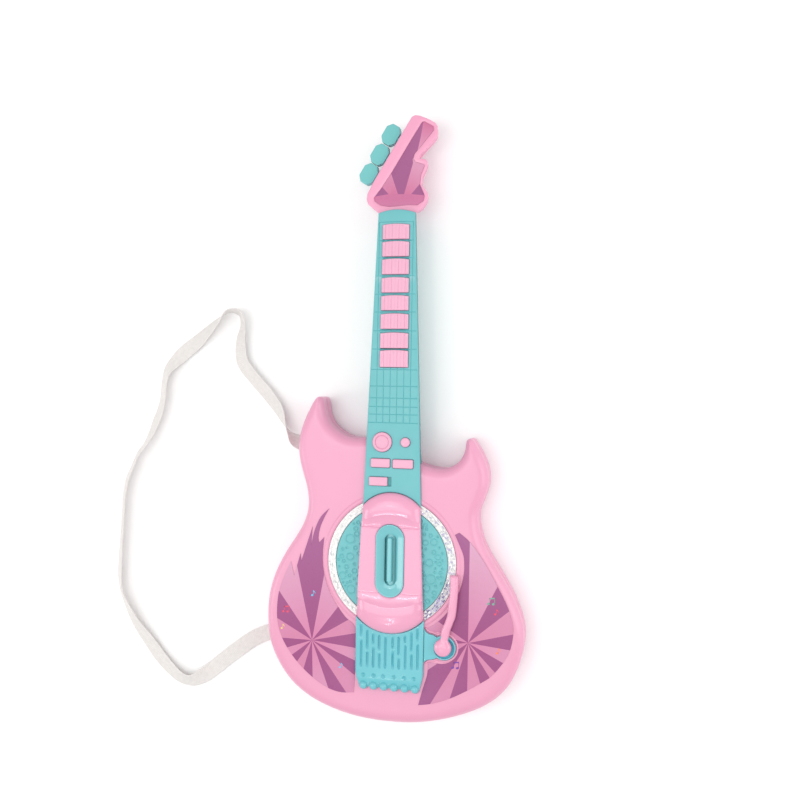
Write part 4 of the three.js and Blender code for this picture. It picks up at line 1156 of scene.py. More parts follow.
def cover():
    P = dense(cover_outline(), 1.8)
    hole = stadium(DISH["hx"] + 0.28, DISH["y0"] + 0.28, DISH["y1"] - 0.28, 32)
    hole2 = inset(hole, -0.5)
    ds = (0.12, 0.4, 0.8, 1.3, 1.9, 2.6, 3.4, 4.4, 5.6, 7.0, 8.5, 10.5)
    loops = [inset(P, d) for d in ds]
    YA, YB = -95.4, -154.9
    # the lobes stop at bowed ridges; from there the top falls to straight creases and the flat centre
    top_arc = lambda x: -83.4 - 6.6 * (x / 26.0) ** 2
    bot_arc = lambda x: -167.6 + 7.4 * (x / 30.0) ** 2
    xs = np.linspace(-1, 1, 60)
    lines = []
    for off in (-1.1, -0.45, 0.0, 0.45, 1.1):
        lines.append(np.stack([xs * 26.2, top_arc(xs * 26.2) + off], 1))
        lines.append(np.stack([xs * 30.2, bot_arc(xs * 30.2) + off], 1))
    for y, w in ((YA, 26.9), (YB, 29.4)):
        for off in (-0.9, -0.4, 0.0, 0.4, 0.9):
            lines.append(np.stack([np.linspace(-w, w, 60), np.full(60, y + off)], 1))
    F = Field(P, [hole], loops + [hole2, inset(hole, -1.2)], lines, grid=2.0, gap=0.6)
    p = F.p
    x, y = p[:, 0], p[:, 1]
    d = dist(p, P)
    ya, yb = top_arc(x), bot_arc(x)
    ridge, mid_z = 43.7, 40.9
    base = np.full(len(p), mid_z)
    # the crescents are hollow: low along the crease and steep below the ridge
    t1 = np.clip((y - YA) / (ya - YA), 0, 1)
    base = np.where(y > YA, mid_z - 0.5 + (ridge - mid_z + 0.5) * (0.35 * t1 + 0.65 * t1 ** 2.2), base)
    t2 = np.clip((YB - y) / (YB - yb), 0, 1)
    base = np.where(y < YB, mid_z - 0.5 + (ridge - mid_z + 0.5) * (0.35 * t2 + 0.65 * t2 ** 2.2), base)
    s1 = np.clip((y - ya) / 10.0, 0, 1)
    base = np.where(y > ya, ridge + 0.75 * np.sin(s1 * math.pi * 0.8), base)
    s2 = np.clip((yb - y) / 12.0, 0, 1)
    base = np.where(y < yb, ridge + 0.75 * np.sin(s2 * math.pi * 0.8), base)
    in_lobe = np.maximum(smooth((y - YA) / 9.0), smooth((YB - y) / 9.0))
    r = 2.0 + 9.5 * in_lobe
    h = 1.8 + 5.0 * in_lobe
    z = base - round_off(d, r, h)
    z = z - 1.3 * in_lobe * (x / 30.0) ** 2
    z = z + 0.22 * np.exp(-((y - YA) / 0.45) ** 2) + 0.22 * np.exp(-((y - YB) / 0.45) ** 2)
    z -= 0.3 * (1 - np.clip(dist(p, hole) / 1.2, 0, 1)) ** 2
    z = np.maximum(z, 37.0)
    m = Mesh()
    ids = m.verts(np.column_stack([p, z]))
    m.tris(F.t, ids)
    L = F.loops[0]
    wall(m, [ids[i] for i in L], p[L], [(0.0, 36.9), (0.0, 36.2), (0.15, 35.8)])
    for L in F.loops[1:]:
        wall(m, [ids[i] for i in L], p[L], [(0.0, 37.0)])
    o = obj("strum_cover", m, MAT["gloss"], "case", "pickup_cover", sharp=24)
    shell(o, 1.4)


def dish():
    P = dense(stadium(DISH["hx"], DISH["y0"], DISH["y1"], 36), 1.8)
    slot = stadium(5.3, -101.4, -148.4, 26)
    ds = (0.15, 0.4, 0.8, 1.2, 1.7, 2.3, 3.0, 3.8, 4.8, 5.8, 6.8)
    F = Field(P, [slot], [inset(P, d) for d in ds] + [inset(slot, -0.35), inset(slot, -0.9)], (), grid=1.8, gap=0.5)
    d = dist(F.p, P)
    dsl = dist(F.p, slot)
    z = 41.9 - round_off(d, 0.7, 0.6)
    z -= 3.3 * np.clip((d - 0.9) / 6.9, 0, 1) ** 0.85
    z -= 0.35 * (1 - np.clip(dsl / 0.9, 0, 1)) ** 2
    m = Mesh()
    ids = m.verts(np.column_stack([F.p, z]))
    m.tris(F.t, ids)
    L = F.loops[0]
    wall(m, [ids[i] for i in L], F.p[L], [(0.0, 39.0), (0.0, 36.5), (0.2, 35.7)])
    for L in F.loops[1:]:
        wall(m, [ids[i] for i in L], F.p[L], [(0.0, 37.4), (0.0, 36.7)])
    o = obj("strum_dish_insert", m, MAT["dish"], "case", "strum_dish", sharp=40)
    shell(o, 0.9)


def lever():
    """The fin on its hub, with a curved shield that keeps the slot closed as it rocks."""
    P = dense(stadium(1.95, -104.2, -145.0, 18), 1.2)
    F = Field(P, (), [inset(P, d) for d in (0.12, 0.35, 0.7, 1.1, 1.5)], (), grid=1.2, gap=0.35)
    d = dist(F.p, P)
    z = 42.9 - round_off(d, 1.2, 1.0)
    m = Mesh()
    ids = m.verts(np.column_stack([F.p, z]))
    m.tris(F.t, ids)
    L = F.loops[0]
    wall(m, [ids[i] for i in L], F.p[L], [(0.0, 41.2), (-0.2, 38.4), (-0.35, 36.4), (-0.35, 29.0)], cap=True)
    n = 22
    R0, R1, half = 7.3, 8.3, math.radians(44)
    a = np.linspace(-half, half, n)
    sec = [(R1 * math.sin(t), 28.5 + R1 * math.cos(t)) for t in a] + [(R0 * math.sin(t), 28.5 + R0 * math.cos(t)) for t in a[::-1]]
    rows = [m.verts([(x, y, zz) for x, zz in sec]) for y in (-100.6, -101.0, -115, -125, -135, -148.8, -149.2)]
    for A, B in zip(rows, rows[1:]):
        m.strip(A, B)
    m.face(rows[0])
    m.face(rows[-1][::-1])
    xf = lambda V: np.column_stack([V[:, 0], -125.0 + V[:, 2], 28.5 + V[:, 1]])
    lathe(m, [(2.3, -24.6), (4.0, -24.6), (4.2, -24.3), (4.2, 24.3), (4.0, 24.6), (2.3, 24.6), (2.3, -24.6)][::-1], 32, 0, xf)
    obj("strum_lever_fin", m, MAT["dish"], "strum_lever", "strum_lever", sharp=35, outward=True)


cover()
dish()
lever()

# ------------------------------------------------------------------ light ring and relief disc
RNG = np.random.default_rng(7)


def light_ring():
    """Clear ring whose face is a field of small cut pyramids in three rows, between two plain rims."""
    r0, r1 = RING_RI, RING_R
    m = Mesh()
    n = 126
    A0 = np.arange(n) * 2 * math.pi / n
    rim = lambda r, z: m.verts(np.column_stack([r * np.cos(A0), RING_Y + r * np.sin(A0), np.full(n, z)]))
    inner, in2 = rim(r0, 34.5), rim(r0 + 0.45, 34.95)
    rows = [in2]
    step = (r1 - 0.45 - (r0 + 0.45)) / 3.0
    for k in range(1, 4):
        rows.append(rim(r0 + 0.45 + k * step, 34.95 if k == 3 else 34.55))
    m.strip(inner, in2)
    for k in range(3):
        lo, hi = rows[k], rows[k + 1]
        for i in range(0, n, 2):
            j = (i + (1 if k % 2 else 0)) % n
            q = [lo[j], lo[(j + 1) % n], lo[(j + 2) % n], hi[(j + 2) % n], hi[(j + 1) % n], hi[j]]
            mid = (j + 1) * 2 * math.pi / n
            a = mid + RNG.uniform(-0.3, 0.3) * 2 * math.pi / n
            r = r0 + 0.45 + (k + 0.5 + RNG.uniform(-0.16, 0.16)) * step
            c = m.verts([(r * math.cos(a), RING_Y + r * math.sin(a), 35.25 + RNG.uniform(-0.2, 0.2))])[0]
            # the facets' colours are painted light, shade and reflection of the clear ring: clear and white at the
            # upper left, lilac and grey towards the lower right
            side = math.degrees(mid) % 360
            low_right = math.exp(-((((side - 318 + 180) % 360) - 180) / 30.0) ** 2)
            right = math.exp(-((((side - 20 + 180) % 360) - 180) / 55.0) ** 2)
            left = math.exp(-((((side - 200 + 180) % 360) - 180) / 45.0) ** 2)
            grey = 0.04 + 0.14 * left + 0.34 * right + 0.30 * low_right
            lilac = 0.10 * right + 0.42 * low_right
            for u, v in zip(q, q[1:] + q[:1]):
                t = RNG.uniform()
                k_m = 2 if t < lilac else (1 if t < lilac + grey else 0)
                if k_m == 2 and low_right > 0.3 and RNG.uniform() < 0.5:
                    k_m = 3
                m.face((v, u, c), k_m)
    out2, outer = rows[-1], rim(r1, 34.5)
    m.strip(out2, outer)
    bo, bi = rim(r1, 32.7), rim(r0, 32.7)
    m.strip(outer, bo)
    m.strip(bo, bi)
    m.strip(bi, inner)

    def facet(name, rgb):
        mt = Nodes(name)
        c = srgb(*rgb)
        n1 = mt.noise(700.0, 2.0)
        mt.link(mt.ramp(n1, [(0.3, tint(c, 0.96)), (0.7, tint(c, 1.03))]), mt.p.inputs["Base Color"])
        mt.link(mt.rng(n1, 0.08, 0.2, 0.3, 0.7), mt.p.inputs["Roughness"])
        mt.bump(mt.noise(1800.0, 2.0), 0.1, 0.00005)
        mt.p.inputs["Transmission Weight"].default_value = 0.10
        mt.p.inputs["Coat Weight"].default_value = 0.5
        mt.p.inputs["Coat Roughness"].default_value = 0.03
        return mt.mat
    # the grey, lilac and deep facet materials are painted shade and reflection
    obj("light_ring_lens", m, [facet("clear_ring", (246, 245, 244)), facet("clear_ring_painted_light_grey", (208, 211, 213)), facet("clear_ring_painted_light_lilac", (190, 182, 216)), facet("clear_ring_painted_light_deep", (128, 124, 164))], "case", "light_ring", flat=True, outward=True)


def relief_disc():
    P = circle(0, RING_Y, DISC_R, 160)
    hole = rect(-12.5, 12.5, -153, -97, 0.6)
    # circles of the bubble relief, packed clear of the cover and of each other
    circ = [(-39.4, -108.1, 4.1), (-33.4, -103.5, 2.2), (-39.1, -124.5, 3.2), (-46.4, -118.0, 1.3), (-42.6, -116.8, 0.8), (-34.3, -116.3, 1.7), (-42.3, -134.3, 1.9), (-46.0, -142.5, 3.2), (-39.4, -142.1, 1.5),
            (-50.1, -127.8, 1.1), (-49.4, -134.2, 0.9), (-35.1, -131.2, 1.1), (-35.0, -137.6, 2.2), (-38.0, -154.8, 3.8), (-41.4, -149.1, 1.1), (-45.3, -148.9, 0.9), (39.8, -107.0, 3.0), (44.7, -111.9, 0.9),
            (40.0, -116.3, 1.9), (47.4, -116.9, 0.9), (35.9, -125.9, 3.2), (31.2, -126.2, 0.9), (47.5, -123.2, 0.9), (41.3, -130.8, 0.8), (47.6, -130.9, 0.9), (37.3, -140.9, 4.3), (43.6, -139.0, 1.1), (31.9, -137.6, 0.9),
            (41.6, -146.4, 0.9), (33.7, -149.0, 3.2), (46.8, -144.0, 1.1), (32.5, -113.6, 1.1), (31.2, -100.2, 1.1)]
    tries = 0
    while tries < 900:
        tries += 1
        a = RNG.uniform(0, 2 * math.pi)
        q = 51.0 * math.sqrt(RNG.uniform(0.05, 1))
        r = RNG.choice([0.9, 1.1, 1.5, 1.9, 2.4])
        x, y = q * math.cos(a), RING_Y + q * math.sin(a)
        if q + r > 51.0 or (abs(x) < 13.6 + r and -154 - r < y < -96 + r):
            continue
        if all(math.hypot(x - c[0], y - c[1]) > r + c[2] + 0.9 for c in circ):
            circ.append((x, y, float(r)))
    loops = []
    for x, y, r in circ:
        n = max(14, int(r * 9))
        w = 0.32 + 0.05 * r
        loops += [circle(x, y, r + w, n), circle(x, y, r, n), circle(x, y, max(r - w, 0.2), n)]
        if r > 2.3:
            loops.append(circle(x, y, r * 0.45, n // 2))
    F = Field(P, [hole], [inset(P, d) for d in (0.2, 0.6, 1.1)] + loops, (), grid=2.6, gap=0.5)
    p = F.p
    z = 34.75 - round_off(dist(p, P), 0.8, 0.6)
    for x, y, r in circ:
        q = np.hypot(p[:, 0] - x, p[:, 1] - y)
        w = 0.32 + 0.05 * r
        z = z + np.where(np.abs(q - r) < w, 0.42 * np.cos(np.clip((q - r) / w, -1, 1) * math.pi / 2), 0)
        z = z + np.where(q < r - w, -0.16 + 0.34 * (1 - (q / max(r - w, 0.1)) ** 2) * (0.5 if r > 2.3 else 0.2), 0)
    m = Mesh()
    ids = m.verts(np.column_stack([p, z]))
    m.tris(F.t, ids)
    L = F.loops[0]
    wall(m, [ids[i] for i in L], p[L], [(0.0, 33.6), (0.0, 32.8)])
    for L in F.loops[1:]:
        wall(m, [ids[i] for i in L], p[L], [(0.0, 33.2)])
    o = obj("sound_disc_relief", m, MAT["disc"], "case", "sound_disc", sharp=60)
    shell(o, 1.2)


light_ring()
relief_disc()

# ------------------------------------------------------------------ tail plate, wing, whammy bar
BALLS = [-24.0, -14.4, -4.7, 5.0, 14.7, 24.4]
TAIL_SLOTS = [[(-26.6, -185.6, -197.5), (-26.2, -199.9, -225.2)], [(-20.6, -190.4, -208.9), (-20.3, -210.5, -225.1)], [(-15.0, -193.5, -203.7), (-14.7, -205.3, -225.0)], [(-9.3, -194.2, -208.8), (-9.0, -211.1, -225.2)],
              [(-3.5, -195.6, -224.9)], [(3.4, -195.4, -206.2), (3.8, -208.1, -225.0)], [(9.0, -194.4, -211.6), (9.4, -214.3, -224.9)], [(14.8, -192.6, -199.8), (15.2, -201.7, -224.5)], [(20.6, -189.6, -207.5), (21.1, -209.5, -224.4)],
              [(26.2, -185.6, -198.1), (26.8, -200.0, -224.0)]]



def tail():
    TX = 31.8
    up = cover_arc(TX, COVER["y1"] - 0.5, COVER["a1"] - 0.3, 49)
    pts = [np.array([TX, -228.0]), np.array([29.9, -237.5])]
    edge = [[TX, -228.0], [30.4, -235.0]]
    for x in BALLS[::-1]:
        for a in np.linspace(-22, -158, 13):
            edge.append([x + 4.3 * math.cos(math.radians(a)), -241.4 + 4.3 * math.sin(math.radians(a))])
    edge += [[-30.4, -235.0], [-TX, -228.0]]
    P = ccw(np.concatenate([up, dense(np.array(edge), 1.5, closed=False)]))
    slots = [stadium(1.3, y1, y0, 9, x) for row in TAIL_SLOTS for x, y1, y0 in row]
    inner = [inset(s, 0.12) for s in slots]
    dimples = [(x, -232.0) for x in (-23.8, -14.0, -5.0, 5.0, 14.6, 23.6)]
    dl = []
    for x, y in dimples:
        dl += [circle(x, y, r, 20) for r in (2.1, 1.7, 1.1, 0.5)]
    bl = []
    for x in BALLS:
        bl += [circle(x, -241.4, r, 26) for r in (3.75, 3.3, 2.7, 1.9, 1.0)]
    loops = slots + inner + dl + bl + [inset(P, d) for d in (0.12, 0.35, 0.7)]
    F = Field(P, (), [L for L in loops if len(L) > 3], (), grid=2.2, gap=0.45)
    p = F.p
    z = 37.5 - round_off(dist(p, P), 0.7, 0.6) - 0.12 * (p[:, 0] / TX) ** 2
    z = z - 1.1 * smooth((-235.0 - p[:, 1]) / 5.0)
    for s in slots:
        ins = inside(p, s)
        ds = dist(p, s)
        z = np.where(ins & (ds > 0.06), 36.45, z)
    for x, y in dimples:
        q = np.hypot(p[:, 0] - x, p[:, 1] - y)
        z = z - np.where(q < 2.1, 1.15 * np.sqrt(np.maximum(0, 1 - (q / 2.1) ** 2)), 0)
    for x in BALLS:
        q = np.hypot(p[:, 0] - x, p[:, 1] + 241.4)
        z = np.where(q < 3.8, np.maximum(z, 36.3 + 3.8 * np.sqrt(np.maximum(0, 1 - (q / 3.8) ** 2))), z)
    m = Mesh()
    ids = m.verts(np.column_stack([p, z]))
    C = F.centroids()
    # slot floors and dimple centres take a darker teal: painted shade in the recesses
    mi = np.zeros(len(F.t), int)
    for s in slots:
        mi[inside(C, s)] = 1
    for x, y in dimples:
        mi[np.hypot(C[:, 0] - x, C[:, 1] - y) < 1.2] = 1
    m.tris(F.t, ids, mi)
    L = F.loops[0]
    wall(m, [ids[i] for i in L], p[L], [(0.0, 35.8), (0.0, 34.6), (0.12, 34.35)], cap=True)
    obj("tail_plate", m, [MAT["trim"], MAT["recess_painted_shade_teal"]], "case", "tailpiece", sharp=34)


def wing():
    P = dense(wing_outline(), 1.2)
    x, y, _ = WHAMMY
    hole = circle(x, y, 2.8, 24)
    cx, cy, R = 50.5, -202.0, 9.6
    cup = [circle(cx, cy, r, 64) for r in (R + 0.06, R, R - 0.5)]
    F = Field(P, [hole], [inset(P, d) for d in (0.12, 0.35, 0.7)] + cup, (), grid=1.7, gap=0.35)
    p = F.p
    q = np.hypot(p[:, 0] - cx, p[:, 1] - cy)
    # the cup is a crescent: deep on the far side, rising to the plate on the near side
    along = (p[:, 0] - x) * 0.80 - (p[:, 1] - y) * 0.60
    depth = 1.35 * smooth((along + 7.0) / 9.0)
    z = 36.6 - round_off(dist(p, P), 0.6, 0.45)
    z = np.where(q < R + 0.03, 36.55 - depth, z)
    # the deep far side of the cup takes a darker blue-teal: painted shade in the hollow
    C = F.centroids()
    qc = np.hypot(C[:, 0] - cx, C[:, 1] - cy)
    ac = (C[:, 0] - x) * 0.80 - (C[:, 1] - y) * 0.60
    mi = ((qc < R) & (ac > -4.0)).astype(int)
    m = Mesh()
    ids = m.verts(np.column_stack([p, z]))
    m.tris(F.t, ids, mi)
    L = F.loops[0]
    wall(m, [ids[i] for i in L], p[L], [(0.0, 35.2), (0.05, 34.3)])
    for L in F.loops[1:]:
        wall(m, [ids[i] for i in L], p[L], [(0.0, 34.4)])
    o = obj("tremolo_cup", m, [MAT["trim"], MAT["cup"]], "case", "tremolo_plate", sharp=30)
    shell(o, 0.4)


ARM = [[55.5, -144], [55.3, -135.4], [59.2, -135.1], [63.0, -135.9], [63.2, -146], [62.6, -156], [62.0, -164], [61.0, -172.5], [58.6, -179.5], [56.2, -186.5], [54.9, -193], [53.6, -198], [48.4, -198], [47.8, -191.5], [48.6, -184.8],
       [51.4, -178.0], [53.5, -171], [54.2, -162], [55.2, -153]]


def whammy():
    x, y, R = WHAMMY
    # union of the arm and its round foot
    arm = ccw(soften(ARM, 60, 7))
    out_arm = arm[np.hypot(arm[:, 0] - x, arm[:, 1] - y) > R + 0.4]
    a0 = math.atan2(out_arm[0, 1] - y, out_arm[0, 0] - x)
    # split where the circle interrupts the arm
    dd = np.hypot(np.diff(np.vstack([out_arm, out_arm[:1]]), axis=0)[:, 0], np.diff(np.vstack([out_arm, out_arm[:1]]), axis=0)[:, 1])
    k = int(np.argmax(dd))
    chain = np.roll(out_arm, -(k + 1), axis=0)
    s = math.atan2(chain[-1, 1] - y, chain[-1, 0] - x)
    e = math.atan2(chain[0, 1] - y, chain[0, 0] - x)
    # the foot's arc runs from the chain's end to its start, the long way round, with a soft fillet at each side
    arcs = []
    for direction in (1, -1):
        ee = e
        while direction * (ee - s) <= 0:
            ee += direction * 2 * math.pi
        arcs.append((abs(ee - s), s, ee))
    arcs.sort(key=lambda t: -t[0])
    _, s, ee = arcs[0]
    pad = 0.18 * (1 if ee > s else -1)
    t = np.linspace(s + pad, ee - pad, 60)
    P = np.concatenate([chain, np.stack([x + R * np.cos(t), y + R * np.sin(t)], 1)])
    P = ccw(P)
    ds = (0.1, 0.3, 0.6, 1.0, 1.5, 2.1, 2.8, 3.5, 4.6, 5.8, 7.0)
    loops = [inset(P, d) for d in ds]
    F = Field(P, (), [L for L in loops if len(L) > 5], (), grid=1.6, gap=0.45)
    p = F.p
    d = dist(p, P)
    q = np.hypot(p[:, 0] - x, p[:, 1] - y)
    R1 = 2.6
    t = 1 - np.clip(d, 0, R1) / R1
    zt = 38.6 + 3.1 * np.sqrt(np.maximum(0, 1 - t ** 2.2)) + 0.25 * smooth(d / 4.0)
    dome = 38.3 + 4.9 * np.sqrt(np.maximum(0, 1 - (np.minimum(q, R) / R) ** 2.4))
    zt = np.where(q < R, np.maximum(zt * 0 + np.minimum(dome, 43.0), np.minimum(zt, dome + 3)), zt)
    # the far end is stepped down onto the ring
    zb = 38.3 - np.where(q < R + 1.0, 2.7, 0.75) * np.sqrt(np.maximum(0, 1 - t ** 2.2))
    m = Mesh()
    ids = m.verts(np.column_stack([p, zt]))
    m.tris(F.t, ids)
    bot = m.verts(np.column_stack([p, zb]))
    m.tris(F.t, bot, flip=True)
    L = F.loops[0]
    m.strip([ids[i] for i in L], [bot[i] for i in L], flip=True)
    obj("whammy_bar_arm", m, MAT["gloss"], "whammy_bar", "whammy_bar", sharp=40)


tail()
wing()
whammy()

# ------------------------------------------------------------------ printed labels


def film(name, rgb, centre, r0, r1, pale, rough=0.3):
    """Printed film whose ink pales away from the middle of its rays."""
    m = Nodes(name)
    geo = m.coord.outputs["Object"]
    sub = m.new("ShaderNodeVectorMath", operation="SUBTRACT")
    m.link(geo, sub.inputs[0])
    sub.inputs[1].default_value = tuple(to_m([centre[0], centre[1], 34.3]))
    ln = m.new("ShaderNodeVectorMath", operation="LENGTH")
    m.link(sub.outputs[0], ln.inputs[0])
    f = m.rng(ln.outputs["Value"], 0.0, 1.0, r0 * 0.001, r1 * 0.001)
    col = m.mix(f, srgb(*rgb), srgb(*pale))
    ink = m.noise(3800.0, 1.0)
    col = m.mix(m.rng(ink, 0.0, 0.10, 0.3, 0.7), col, tint(srgb(*rgb), 0.8))
    m.link(col, m.p.inputs["Base Color"])
    m.link(m.rng(m.noise(90.0, 3.0), rough - 0.07, rough + 0.07, 0.3, 0.7), m.p.inputs["Roughness"])
    m.bump(m.noise(500.0, 2.0), 0.05, 0.00005)
    m.p.inputs["Specular IOR Level"].default_value = 0.2
    return m.mat


PURPLE, MID, LIGHT, PALE = (155, 82, 129), (206, 131, 165), (212, 148, 180), (214, 168, 193)


def label(name, node, P, centre, bounds_deg, kinds, z0, z1, r1, lines=()):
    """bounds_deg are the rays' angles, falling; kinds[i] is the ink from bounds[i] to bounds[i+1]."""
    mats = [film(name + "_purple", PURPLE, centre, 5, r1, (163, 98, 144)), film(name + "_mid", MID, centre, 5, r1, (210, 144, 176)), film(name + "_light", (208, 132, 168), centre, 8, r1, PALE)]
    P = ccw(P)
    c = np.array(centre)
    L = []
    for a in bounds_deg:
        v = np.array([math.cos(math.radians(a)), math.sin(math.radians(a))])
        L.append(np.array([c + v * 0.02, c + v * 190.0]))
    F = Field(P, (), [inset(P, 0.25)], L, grid=7.0)
    keep_z = np.where(dist(F.p, P) < 0.05, z1 - 0.08, z1)
    C = F.centroids()
    ang = np.degrees(np.arctan2(C[:, 1] - c[1], C[:, 0] - c[0]))
    b = np.array(bounds_deg, float)
    mi = np.zeros(len(C), int)
    for k in range(len(b)):
        hi, lo = b[k], (b[k + 1] if k + 1 < len(b) else b[0] - 360)
        aa = np.mod(ang - lo, 360)
        mi[(aa > 0) & (aa <= (hi - lo))] = "pml".index(kinds[k])
    m = Mesh()
    ids = m.verts(np.column_stack([F.p, keep_z]))
    m.tris(F.t, ids, mi)
    Lp = F.loops[0]
    wall(m, [ids[i] for i in Lp], F.p[Lp], [(0.0, z0)], cap=True)
    return obj(name, m, mats, "case", node, sharp=30)


label("body_label_left_film", "body_label_left", dense(soften(LABEL_L), 1.5), (-74.7, -205.0),
      [127, 103, 80, 53, 31.7, 13, -5.3, -20.4, -35, -53.5, -69, -88, -106, -124, -142, -160, -180, -207.7],
      "lplpmplpmplpmplpmp", 34.12, 34.4, 105)
label("body_label_right_film", "body_label_right", dense(soften(LABEL_R, 50), 1.5), (72.1, -196.1),
      [148, 90, 64, 40.5, 15, -5.5, -26, -45, -56, -72, -90, -107, -120, -143, -172, -190],
      "plpmplpmpmpmplpl", 34.12, 34.4, 100)

def head_film():
    """The headstock's label: rays that widen upwards from below, with a plain band at the foot."""
    P = ccw(soft_poly(HEAD_LABEL, 1.6, 1.5))
    big = np.array([(-0.2, 208.6), (-7.0, 227.9), (-2.1, 237.5), (17.3, 269.1), (27.0, 283.0), (22.4, 273.8), (20.5, 262.0), (17.7, 248.6), (14.5, 241.7), (13.0, 240.2), (13.4, 236.5), (5.5, 208.4)])
    left = np.array([(-26.0, 203.5), (-15.6, 216.2), (-9.0, 208.9), (-24.0, 206.8)])
    right = np.array([(12.2, 208.3), (19.9, 217.2), (28.5, 213.5), (26.0, 206.6)])
    top = np.array([(17.9, 249.4), (20.5, 262.0), (22.4, 273.8), (27.0, 283.0), (40.0, 277.0), (40.0, 262.0)])
    band = np.array([(-32.0, 206.6), (-9.0, 208.9), (12.2, 208.3), (34.0, 206.8), (34.0, 190.0), (-32.0, 190.0)])
    polys = [big, left, right, top, band]
    F = Field(P, (), [inset(P, 0.25)], [np.vstack([dense(q, 4.0), q[:1]]) for q in polys], grid=5.0)
    C = F.centroids()
    mi = np.full(len(C), 2)
    mi[inside(C, band)] = 1
    mi[inside(C, top)] = 3
    for q in (big, left, right):
        mi[inside(C, q)] = 0
    centre = (1.7, 197.4)
    mats = [film("head_ink_purple", (158, 92, 136), centre, 5, 90, (165, 101, 143)), film("head_ink_mid", (198, 116, 154), centre, 5, 90, (198, 116, 154)), film("head_ink_light", (202, 118, 154), centre, 14, 50, (216, 160, 188)),
            film("head_ink_top", (216, 156, 184), centre, 46, 80, (200, 112, 150))]
    m = Mesh()
    ids = m.verts(np.column_stack([F.p, np.where(dist(F.p, P) < 0.05, 31.6, 31.68)]))
    m.tris(F.t, ids, mi)
    L = F.loops[0]
    wall(m, [ids[i] for i in L], F.p[L], [(0.0, 31.15)], cap=True)
    obj("head_label_film", m, mats, "case", "head_label", sharp=30)


head_film()


def notes():
    """Small plain music notes printed on the body's labels."""
    inks = {"blue": (96, 190, 226), "red": (226, 74, 104), "yellow": (236, 206, 120), "green": (120, 168, 150), "violet": (118, 66, 158), "orange": (240, 132, 96)}
    mats = {}
    for k, rgb in inks.items():
        mats[k] = plastic("ink_" + k, rgb, 0.35, 0.04)

    def blob(m, P):
        P = ccw(P)
        t = m.verts(np.column_stack([P, np.full(len(P), 34.46)]))
        b = m.verts(np.column_stack([P, np.full(len(P), 34.38)]))
        m.face(t)
        m.strip(t, b, flip=True)
        m.face(b[::-1])

    def oval(x, y, a, b, tilt, n=20):
        t = np.arange(n) * 2 * math.pi / n
        c, s = math.cos(tilt), math.sin(tilt)
        return np.stack([x + a * np.cos(t) * c - b * np.sin(t) * s, y + a * np.cos(t) * s + b * np.sin(t) * c], 1)

    def note(name, x, y, k, ink, pair=False, lean=0.0):
        m = Mesh()
        if pair:
            for sx in (-2.1, 1.6):
                blob(m, oval(x + sx * k, y - 2.3 * k, 1.15 * k, 0.85 * k, 0.35))
                blob(m, np.array([[x + (sx + 0.75) * k, y - 2.2 * k], [x + (sx + 1.12) * k, y - 2.2 * k], [x + (sx + 1.12) * k, y + 2.0 * k], [x + (sx + 0.75) * k, y + 2.0 * k]]))
            blob(m, np.array([[x - 1.35 * k, y + 1.1 * k], [x + 2.72 * k, y + 1.6 * k], [x + 2.72 * k, y + 2.6 * k], [x - 1.35 * k, y + 2.1 * k]]))
        else:
            blob(m, oval(x - 0.6 * k, y - 2.2 * k, 1.25 * k, 0.9 * k, 0.35))
            blob(m, np.array([[x + 0.25 * k, y - 2.1 * k], [x + 0.62 * k, y - 2.1 * k], [x + 0.62 * k, y + 2.4 * k], [x + 0.25 * k, y + 2.4 * k]]))
            blob(m, np.array([[x + 0.62 * k, y + 2.4 * k], [x + 0.62 * k, y + 1.2 * k], [x + 1.9 * k, y + 0.2 * k], [x + 2.1 * k, y - 0.9 * k], [x + 2.45 * k, y + 0.1 * k], [x + 1.7 * k, y + 1.4 * k]]))
        obj(name, m, mats[ink], "case", (), sharp=30)

    note("ink_note_1", -74.5, -160.7, 1.0, "blue")
    note("ink_note_2", -100.8, -177.3, 1.15, "red", True)
    note("ink_note_3", -104.1, -194.0, 0.9, "yellow")
    note("ink_note_4", -46.5, -226.0, 0.9, "blue")
    note("ink_note_5", 92.3, -156.9, 1.2, "green", True)
    note("ink_note_6", 96.7, -166.4, 1.0, "red")
    note("ink_note_7", 60.9, -216.8, 1.2, "violet", True)
    note("ink_note_8", 98.9, -201.1, 1.0, "orange")


notes()

# ------------------------------------------------------------------ battery door, screws and strap bars


def door():
    P = dense(rect(-24.4, 24.4, -244.9, -176.0, 1.0), 3.0)
    rec, rec2, hole = (circle(0, -180.6, r, 36) for r in (3.0, 3.0 - EPS, 1.7))
    ribs = [round_poly(np.array([[-a, y - 0.75], [a, y - 0.75], [a, y + 0.75], [-a, y + 0.75]]), 0.7, 4) for a, y in ((10.5, -190.5), (9.6, -193.3), (8.7, -196.1), (7.8, -198.9), (6.9, -201.7))]
    F = Field(P, [hole], [inset(P, d) for d in (0.12, 0.35, 0.7)] + [rec, rec2] + ribs + [inset(q, 0.25) for q in ribs], (), grid=4.0, gap=0.5)
    p = F.p
    z = 0.25 + round_off(dist(p, P), 0.6, 0.4)
    z = np.where(np.hypot(p[:, 0], p[:, 1] + 180.6) < 3.0 - EPS / 2, 1.2, z)
    for q in ribs:
        z = np.where(inside(p, q) & (dist(p, q) > 0.15), 0.85, z)
    m = Mesh()
    ids = m.verts(np.column_stack([p, z]))
    m.tris(F.t, ids, flip=True)
    L = F.loops[0]
    wall(m, [ids[i] for i in L], p[L], [(0.0, 1.6), (0.15, 2.2)], flip=True)
    for L in F.loops[1:]:
        wall(m, [ids[i] for i in L], p[L], [(0.0, 2.2)], flip=True)
    o = obj("battery_door_panel", m, MAT["case"], "case", "battery_door", sharp=30)
    shell(o, 0.6)


